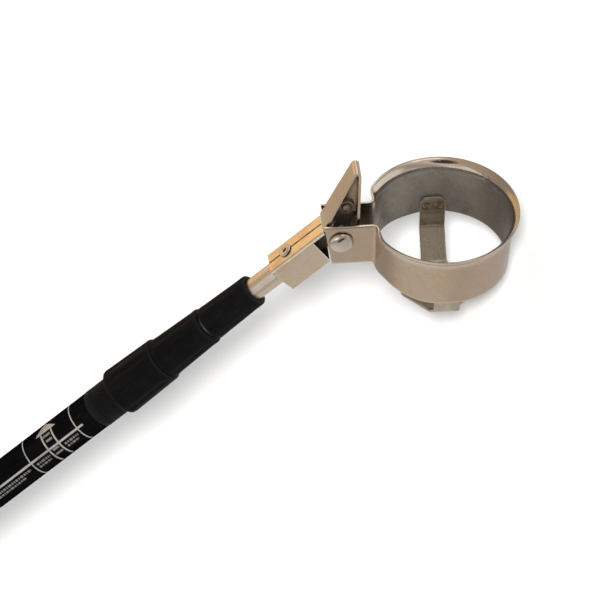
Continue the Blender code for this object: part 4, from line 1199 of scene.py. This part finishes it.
# Angles are degrees round the sleeve from +Z towards -Y.
LINE_ANGLE = 61.0                        # middle of the long line
LABEL_RINGS = (462.5, 437.0, 411.0, 392.0)                  # x
LABEL_ARROWS = ((449.5, 3.1), (400.5, 2.6))                 # x, half width
ARROW_BARS = ((-0.2, 0.62), (0.1, 0.5), (-0.1, 0.66), (0.15, 0.5), (0.0, 0.6))  # shift, width
LABEL_DASHES = (                                            # x start, x end, angle
    (438.5, 445.5, 72.0), (453.8, 461.0, 72.0), (438.5, 445.0, 84.0), (454.0, 460.0, 84.0),
    (413.0, 435.0, 72.0), (413.0, 431.0, 84.0), (395.0, 396.8, 72.0))
DASH_WIDTHS = (1.1, 0.6, 1.5, 0.8, 0.5)
FILM, INK, FAINT_INK = 0, 1, 2           # material slots


def label_film():
    profile = [(LABEL_REAR, LABEL_INNER_R), (LABEL_REAR, LABEL_R - 0.06),
               (LABEL_REAR + 0.08, LABEL_R)]
    profile += [(x, LABEL_R) for x in stepped(LABEL_REAR, LABEL_FRONT, 30)]
    profile += [(LABEL_FRONT - 0.08, LABEL_R), (LABEL_FRONT, LABEL_R - 0.06),
                (LABEL_FRONT, LABEL_INNER_R)]
    return turned(profile, 'X', (0, 0, 0), segments=192, closed=True)


def rectangle(x0, x1, angle0, angle1):
    """Grid of (x, angle) rows."""
    rows = max(1, int(abs(angle1 - angle0) / 3.0))
    columns = max(1, int(abs(x1 - x0) / 3.0))
    return [[(x0 + (x1 - x0) * j / columns, angle0 + (angle1 - angle0) * i / rows)
             for j in range(columns + 1)] for i in range(rows + 1)]


def patch(a, b, c, d):
    """Grid between four (x, angle) corners."""
    grid = []
    for i in range(7):
        start = Vector(a).lerp(Vector(d), i / 6)
        end = Vector(b).lerp(Vector(c), i / 6)
        grid.append([tuple(start.lerp(end, j / 6)) for j in range(7)])
    return grid


def arrow_marks(x, half):
    """Hollow arrow round the sleeve, its head towards +Z, with faint bars inside."""
    tip, base = LINE_ANGLE - 84.0, LINE_ANGLE - 52.0
    notch = (x, tip + 9.0)
    left, right = (x - half * 1.0, base + 1.0), (x + half * 1.0, base + 1.0)
    end = LINE_ANGLE + 62.0
    yield patch((x - half * 1.75, base), (x, tip), notch, left), INK
    yield patch((x, tip), (x + half * 1.75, base), right, notch), INK
    yield patch(left, notch, right, (x, base + 1.0)), INK
    yield rectangle(x - half, x - half + 0.75, base, end), INK
    yield rectangle(x + half - 0.75, x + half, base, end), INK
    for i, (shift, width) in enumerate(ARROW_BARS):
        start = base + 9.0 + i * 16.0
        if abs(start + 4 - LINE_ANGLE) >= 9:      # keep clear of the long line
            yield rectangle(x - half * width + shift, x + half * width + shift,
                            start, start + 7.0), FAINT_INK


def label_marks():
    """(grid, slot) of each mark; a grid of 96 rows closes into a ring."""
    for x in LABEL_RINGS:
        yield [[(x - 0.55 / 2, 360.0 * i / 96), (x + 0.55 / 2, 360.0 * i / 96)]
               for i in range(96)], INK
    yield rectangle(LABEL_REAR + 0.6, LABEL_RINGS[0] + 3.0,
                    LINE_ANGLE - 3.2, LINE_ANGLE + 3.2), INK
    for x, half in LABEL_ARROWS:
        yield from arrow_marks(x, half)
    for x, end, angle in LABEL_DASHES:
        k = 0
        while x < end:
            width = DASH_WIDTHS[k % 5]
            yield rectangle(x, min(x + width, end), angle, angle + 7.0), FAINT_INK
            x += width + 0.45
            k += 1


def add_mark(vertices, faces, grid, lift):
    """One mark as a closed slab: top just proud of the film, underside sunk into it."""
    base, rows, columns = len(vertices), len(grid), len(grid[0])
    for r in (PRINT_R + lift, PRINT_ROOT_R - lift):
        for row in grid:
            for x, angle in row:
                a = math.radians(angle)
                vertices.append((x, -r * math.sin(a), r * math.cos(a)))
    tops = []
    for i in range(rows if rows == 96 else rows - 1):
        a, b = base + i * columns, base + (i + 1) % rows * columns
        tops += [(a + j, a + j + 1, b + j + 1, b + j) for j in range(columns - 1)]
    a, b, c = (Vector(vertices[i]) for i in tops[0][:3])
    if (b - a).cross(c - a).dot(Vector((0, a.y, a.z))) <= 0:
        tops = [tuple(reversed(top)) for top in tops]
    edges = dict.fromkeys(edge for top in tops for edge in zip(top, top[1:] + top[:1]))
    under = rows * columns
    faces += tops
    faces += [tuple(i + under for i in reversed(top)) for top in tops]
    faces += [(b, a, a + under, b + under) for a, b in edges if (b, a) not in edges]


def label():
    """Black film sleeve with plain printed marks: rings, a line, arrows, dashes."""
    vertices, faces = label_film()
    slots = [FILM] * len(faces)
    for k, (grid, slot) in enumerate(label_marks()):
        # four lift levels, so that marks that touch share no corner
        add_mark(vertices, faces, grid, lift=0.0005 * (k % 4))
        slots += [slot] * (len(faces) - len(slots))
    ob = solid("label_sleeve_print", (vertices, faces))
    install(ob, "handle", "label_sleeve", MATERIALS["film"], sharp=50)
    ob.data.materials.append(MATERIALS["ink"])
    ob.data.materials.append(MATERIALS["faint ink"])
    for polygon, slot in zip(ob.data.polygons, slots):
        polygon.material_index = slot


# ---------------------------------------------------------------- grip and butt cap
def grip():
    """Tapered rubber sleeve with grooves round it and shallow lengthwise flutes between."""
    rear, front = 6.4, 300.0
    bore = TUBE_4.outer + SLIDE_GAP
    r_rear, r_front = 12.2, 9.4
    grooves = []
    x = rear + 18.0
    while x < front - 22:
        grooves.append(x)
        x += 52.0

    def taper(x):
        return r_rear + (r_front - r_rear) * ((x - rear) / (front - rear)) ** 0.8

    profile = [(front, bore), (rear, bore), (rear, 11.5), (rear + 0.12, 11.85),
               (rear + 0.4, 12.1), (rear + 0.8, 12.18)]
    x = rear + 1.5
    while x < front - 3.4:
        to_groove = min(abs(x - (g + 1.2)) for g in grooves)
        profile.append((x, taper(x) - 0.55 * smoothstep((1.25 - to_groove) / 0.55)))
        x += 0.3 if to_groove < 2.2 else 1.5
    profile += [(front - 3.0, taper(front - 3)), (front - 1.6, 9.25), (front - 0.8, 9.0),
                (front - 0.25, 8.75), (front, 8.35)]

    def fluted(x, r, angle):
        if r < bore + 0.5:
            return r
        for a, b in zip([rear] + grooves, grooves + [front - 4]):
            start, end = a + 6.0, b - 4.0
            if start < x < end:
                fade = smoothstep((x - start) / 3.0) * smoothstep((end - x) / 3.0)
                return r - 0.42 * fade * (0.5 - 0.5 * math.cos(24 * angle)) ** 3
        return r
    shape = turned(profile, 'X', (0, 0, 0), segments=192, closed=True, reshape=fluted)
    install(solid("rubber_grip", shape), "handle", "grip", MATERIALS["grip"],
            sharp=50)


def butt_cap():
    """Cap over the rear end, with a spigot inside the handle tube."""
    r = 12.4
    spigot = TUBE_4.inner - 0.3
    profile = [                          # (x, radius)
        (0.25, 0.0), (0.25, 4.2), (0.05, 4.6), (0.0, 5.0), (0.0, 8.6), (0.22, 8.9),
        (0.22, 9.4), (0.0, 9.7), (0.0, r - 1.3), (0.08, r - 0.95), (0.35, r - 0.55),
        (0.8, r - 0.2), (1.4, r), (2.6, r), (2.8, r - 0.18), (3.2, r - 0.18), (3.4, r),
        (4.9, r), (5.3, r - 0.12), (5.52, r - 0.35), (5.6, r - 0.7), (5.6, spigot),
        (17.0, spigot), (17.5, spigot - 0.25), (17.8, spigot - 0.8), (17.8, 0.0)]
    ob = solid("butt_cap_visual", turned(profile, 'X', (0, 0, 0), segments=128))
    install(ob, "handle", "butt_cap", MATERIALS["cap"], sharp=40)


# ---------------------------------------------------------------- build the pieces
ring_cup()
strap()
hinge_rivet()
lever()
hinge_plate()
lever_rivet()
torsion_spring()
shaft_box()
box_eyelet()
tube("tube_thin", TUBE_1, "tube 1", "head", "inner_tube", hole=True)
tube("tube_second", TUBE_2, "tube 2", "second_stage", "second_tube")
tube("tube_third", TUBE_3, "tube 3", "third_stage", "third_tube")
tube("tube_handle", TUBE_4, "black", "handle", "handle_tube")
collar("collar_small", "collar_front", "second_stage",
       ends=(behind_pin(44.0), behind_pin(67.5)), radii=(6.65, 7.2), tubes=(TUBE_1, TUBE_2),
       flutes=10, depth=0.16, phase=0.6)
collar("collar_mid", "collar_middle", "third_stage",
       ends=(behind_pin(69.0), behind_pin(92.5)), radii=(7.75, 8.5), tubes=(TUBE_2, TUBE_3),
       flutes=10, depth=0.30, phase=0.2)
collar("collar_large", "collar_rear", "handle",
       ends=(behind_pin(93.0), behind_pin(117.0)), radii=(9.3, 9.9), tubes=(TUBE_3, TUBE_4),
       flutes=12, depth=0.42, skirt=(behind_pin(129.0), 8.0))
label()
grip()
butt_cap()

# CAD pieces carried over, with rounded edges and their own finish
CARRIED_OVER = {
    "nylon": ["hinge_spacer_near", "hinge_spacer_far", "tip_plug",
              "lock_plug_1", "lock_plug_2", "lock_plug_3"],
    "cam": ["lock_cam_1", "lock_cam_2", "lock_cam_3"],
    "screw": ["lock_screw_1", "lock_screw_2", "lock_screw_3"],
}
for finish, names in CARRIED_OVER.items():
    for name in names:
        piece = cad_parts[name]
        piece.data.materials.clear()
        piece.data.materials.append(MATERIALS[finish])
        piece.modifiers.new("weld", 'WELD').merge_threshold = 0.000005
        add_bevel(piece, width=0.12, angle=40)
        piece.modifiers.new("normals", 'WEIGHTED_NORMAL').keep_sharp = False

# ---------------------------------------------------------------- floor, in metres
FLOOR_Z = -0.0727                        # clear of the cup at every angle of its hinge
FLOOR_HALF = 8.0
FLOOR_GLOW = (0.74, 0.68, 0.61)          # what reflections see of the floor


def cone(full, gone):
    """Span of cosines from nothing at one angle to full at a smaller one (degrees)."""
    return math.cos(math.radians(gone)), math.cos(math.radians(full))


def floor_glow(g):
    """Reflected floor colour by the direction of the ray that meets it."""
    incoming = g.new("NewGeometry").outputs["Incoming"]

    def along(direction):
        return g.dot(incoming, -Vector(direction).normalized())

    down = (0, 0, -1)
    color = g.mix(g.ramp(along(down), span=(0.05, 0.40)), (0.52, 0.47, 0.41), FLOOR_GLOW)
    color = g.mix(g.ramp(along(down), span=(0.62, 0.95)), color, (0.82, 0.755, 0.69))
    color = g.mix(g.ramp(along((-0.85, -0.32, -0.42)), span=cone(full=18, gone=42)),
                  color, (0.93, 0.86, 0.78))
    color = g.mix(g.ramp(along((0.86, 0.0, -0.50)), span=cone(full=22, gone=42)),
                  color, (1.15, 1.10, 1.02))
    # a dark band, seen only by rays heading towards -Y
    band = g.mix(g.ramp(along(down), span=(0.10, 0.16)), color, (0.05, 0.045, 0.04))
    band = g.mix(g.ramp(along(down), span=(0.30, 0.36)), band, color)
    return g.mix(g.ramp(along((-0.10, -0.955, -0.28)), span=cone(full=12, gone=20)), color, band)


def floor_material():
    """Plain diffuse paper that glows softly in reflections."""
    material = bpy.data.materials.new("floor_paper")
    material.use_nodes = True
    material.node_tree.nodes.clear()
    g = Graph(material.node_tree)
    paper = g.new("BsdfDiffuse", {"Color": (0.86, 0.86, 0.86)})
    glow = g.new("Emission", {"Color": FLOOR_GLOW, "Strength": 0.80})
    g.put(glow.inputs["Color"], floor_glow(g))
    glossy = g.new("LightPath").outputs["Is Glossy Ray"]
    g.new("OutputMaterial",
          {"Surface": g.mix_shader(glossy, paper.outputs[0], glow.outputs[0])})
    return material


floor_mesh = bpy.data.meshes.new("floor")
floor_mesh.from_pydata([(x * FLOOR_HALF, y * FLOOR_HALF, FLOOR_Z)
                        for x, y in ((-1, -1), (1, -1), (1, 1), (-1, 1))], [], [(0, 1, 2, 3)])
floor = bpy.data.objects.new("floor", floor_mesh)
scene.collection.objects.link(floor)
floor_mesh.materials.append(floor_material())

# ---------------------------------------------------------------- world
# Even white light, and a small studio that only reflections see.
# Round cards: colour, direction, angles in degrees where the card is full and gone
CARDS_UNDER = [
    ((0.055, 0.05, 0.045), (0.424, -0.711, 0.561), 9, 19),    # dark, round the camera
    ((0.46, 0.41, 0.35), (-0.976, -0.222, 0.05), 14, 30),     # horizon towards -X
    ((1.65, 1.60, 1.50), (-0.28, -0.93, 0.22), 6, 13),        # bright, low towards -Y
    ((0.05, 0.045, 0.04), (0.90, 0.30, 0.07), 4, 10),         # dark, low towards +X
    ((1.35, 1.27, 1.17), (0.563, 0.711, 0.416), 8, 18),       # bright, towards +X +Y
]
# Rectangular boxes: colour, direction, half width, half height and soft edge as tangents
SOFTBOXES = [
    ((0.86, 0.82, 0.765), (-0.50, -0.66, 0.56), 0.34, 0.26, 0.14),   # towards -X -Y
    ((1.5, 1.45, 1.36), (0.80, 0.12, 0.56), 0.40, 0.16, 0.08),       # towards +X
]
CARDS_OVER = [
    ((1.13, 0.73, 0.375), (-0.424, 0.711, 0.561), 14, 32),    # warm, high towards -X +Y
    ((0.66, 0.54, 0.41), (-0.698, 0.711, 0.092), 12, 26),     # warm, low towards -X +Y
]


def add_cards(g, view, color, cards):
    for card_color, direction, full, gone in cards:
        mask = g.ramp(g.dot(view, Vector(direction).normalized()), span=cone(full, gone))
        color = g.mix(mask, color, card_color)
    return color


def add_softbox(g, view, color, box_color, direction, half_w, half_h, soft):
    forward = Vector(direction).normalized()
    across = forward.cross(Vector((0, 0, 1))).normalized()
    upward = across.cross(forward).normalized()
    depth = g.math('MAXIMUM', g.dot(view, forward), 0.001)

    def within(axis, half):
        tangent = g.math('ABSOLUTE', g.math('DIVIDE', g.dot(view, axis), depth))
        return g.ramp(tangent, span=(half + soft, half))
    mask = g.multiply(within(across, half_w), within(upward, half_h))
    in_front = g.math('GREATER_THAN', g.dot(view, forward), 0.01)
    return g.mix(g.multiply(mask, in_front), color, box_color)


def studio_color(g):
    coordinates = g.new("TexCoord").outputs["Generated"]
    view = g.new("VectorMath", {0: coordinates}, operation='NORMALIZE').outputs["Vector"]
    height = g.dot(view, (0, 0, 1))
    color = g.mix(g.ramp(height, span=(0.05, 0.30)), (0.46, 0.41, 0.355), (0.72, 0.64, 0.55))
    color = g.mix(g.ramp(height, span=(0.50, 0.85)), color, (0.50, 0.40, 0.30))
    color = add_cards(g, view, color, CARDS_UNDER)
    for box in SOFTBOXES:
        color = add_softbox(g, view, color, *box)
    return add_cards(g, view, color, CARDS_OVER)


def build_world():
    world = bpy.data.worlds.new("studio")
    scene.world = world
    world.use_nodes = True
    world.node_tree.nodes.clear()
    g = Graph(world.node_tree)

    def background(color, strength):
        return g.new("Background", {"Color": color, "Strength": strength}).outputs[0]
    white = (1, 1, 1)
    rays = g.new("LightPath").outputs
    shader = g.mix_shader(rays["Is Glossy Ray"], background(white, strength=0.62),
                          background(studio_color(g), strength=1.0))
    shader = g.mix_shader(rays["Is Camera Ray"], shader, background(white, strength=1.1))
    g.new("OutputWorld", {"Surface": shader})


build_world()

# ---------------------------------------------------------------- camera and key light, metres
# columns: the camera's right, up and back directions
CAMERA_TURN = Matrix([
    [0.7215553382990803, 0.547344148937512, 0.42399560893477556],
    [-0.10947930319778307, 0.6948892739602539, -0.7107342535057105],
    [-0.6836462359608427, 0.46641535090395825, 0.5613239211878557]])

camera_data = bpy.data.cameras.new("camera")
camera = bpy.data.objects.new("camera", camera_data)
scene.collection.objects.link(camera)
placement = CAMERA_TURN.to_4x4()
placement.translation = Vector((1.890384, -2.224706, 1.735077))
camera.matrix_world = placement
camera_data.sensor_width = 36
camera_data.lens = 474.0411765
camera_data.clip_start = 0.05
camera_data.clip_end = 60
scene.camera = camera

# a broad soft sun a little up and left of the camera
right, up, back = CAMERA_TURN.col
towards_sun = (back - right * 0.042 + up * 0.054).normalized()
sun = bpy.data.lights.new("key", 'SUN')
sun.energy = 3.8
sun.angle = math.radians(9.5)
sun.color = (1.0, 0.985, 0.96)
key = bpy.data.objects.new("key", sun)
scene.collection.objects.link(key)
key.rotation_mode = 'QUATERNION'
key.rotation_quaternion = (-towards_sun).to_track_quat('-Z', 'Y')
key.location = Vector((0.5, 0, 0)) + towards_sun * 2
key.visible_glossy = False

scene.view_settings.view_transform = 'Standard'
scene.view_settings.look = 'None'
scene.view_settings.exposure = 0.0
scene.view_settings.gamma = 1.0
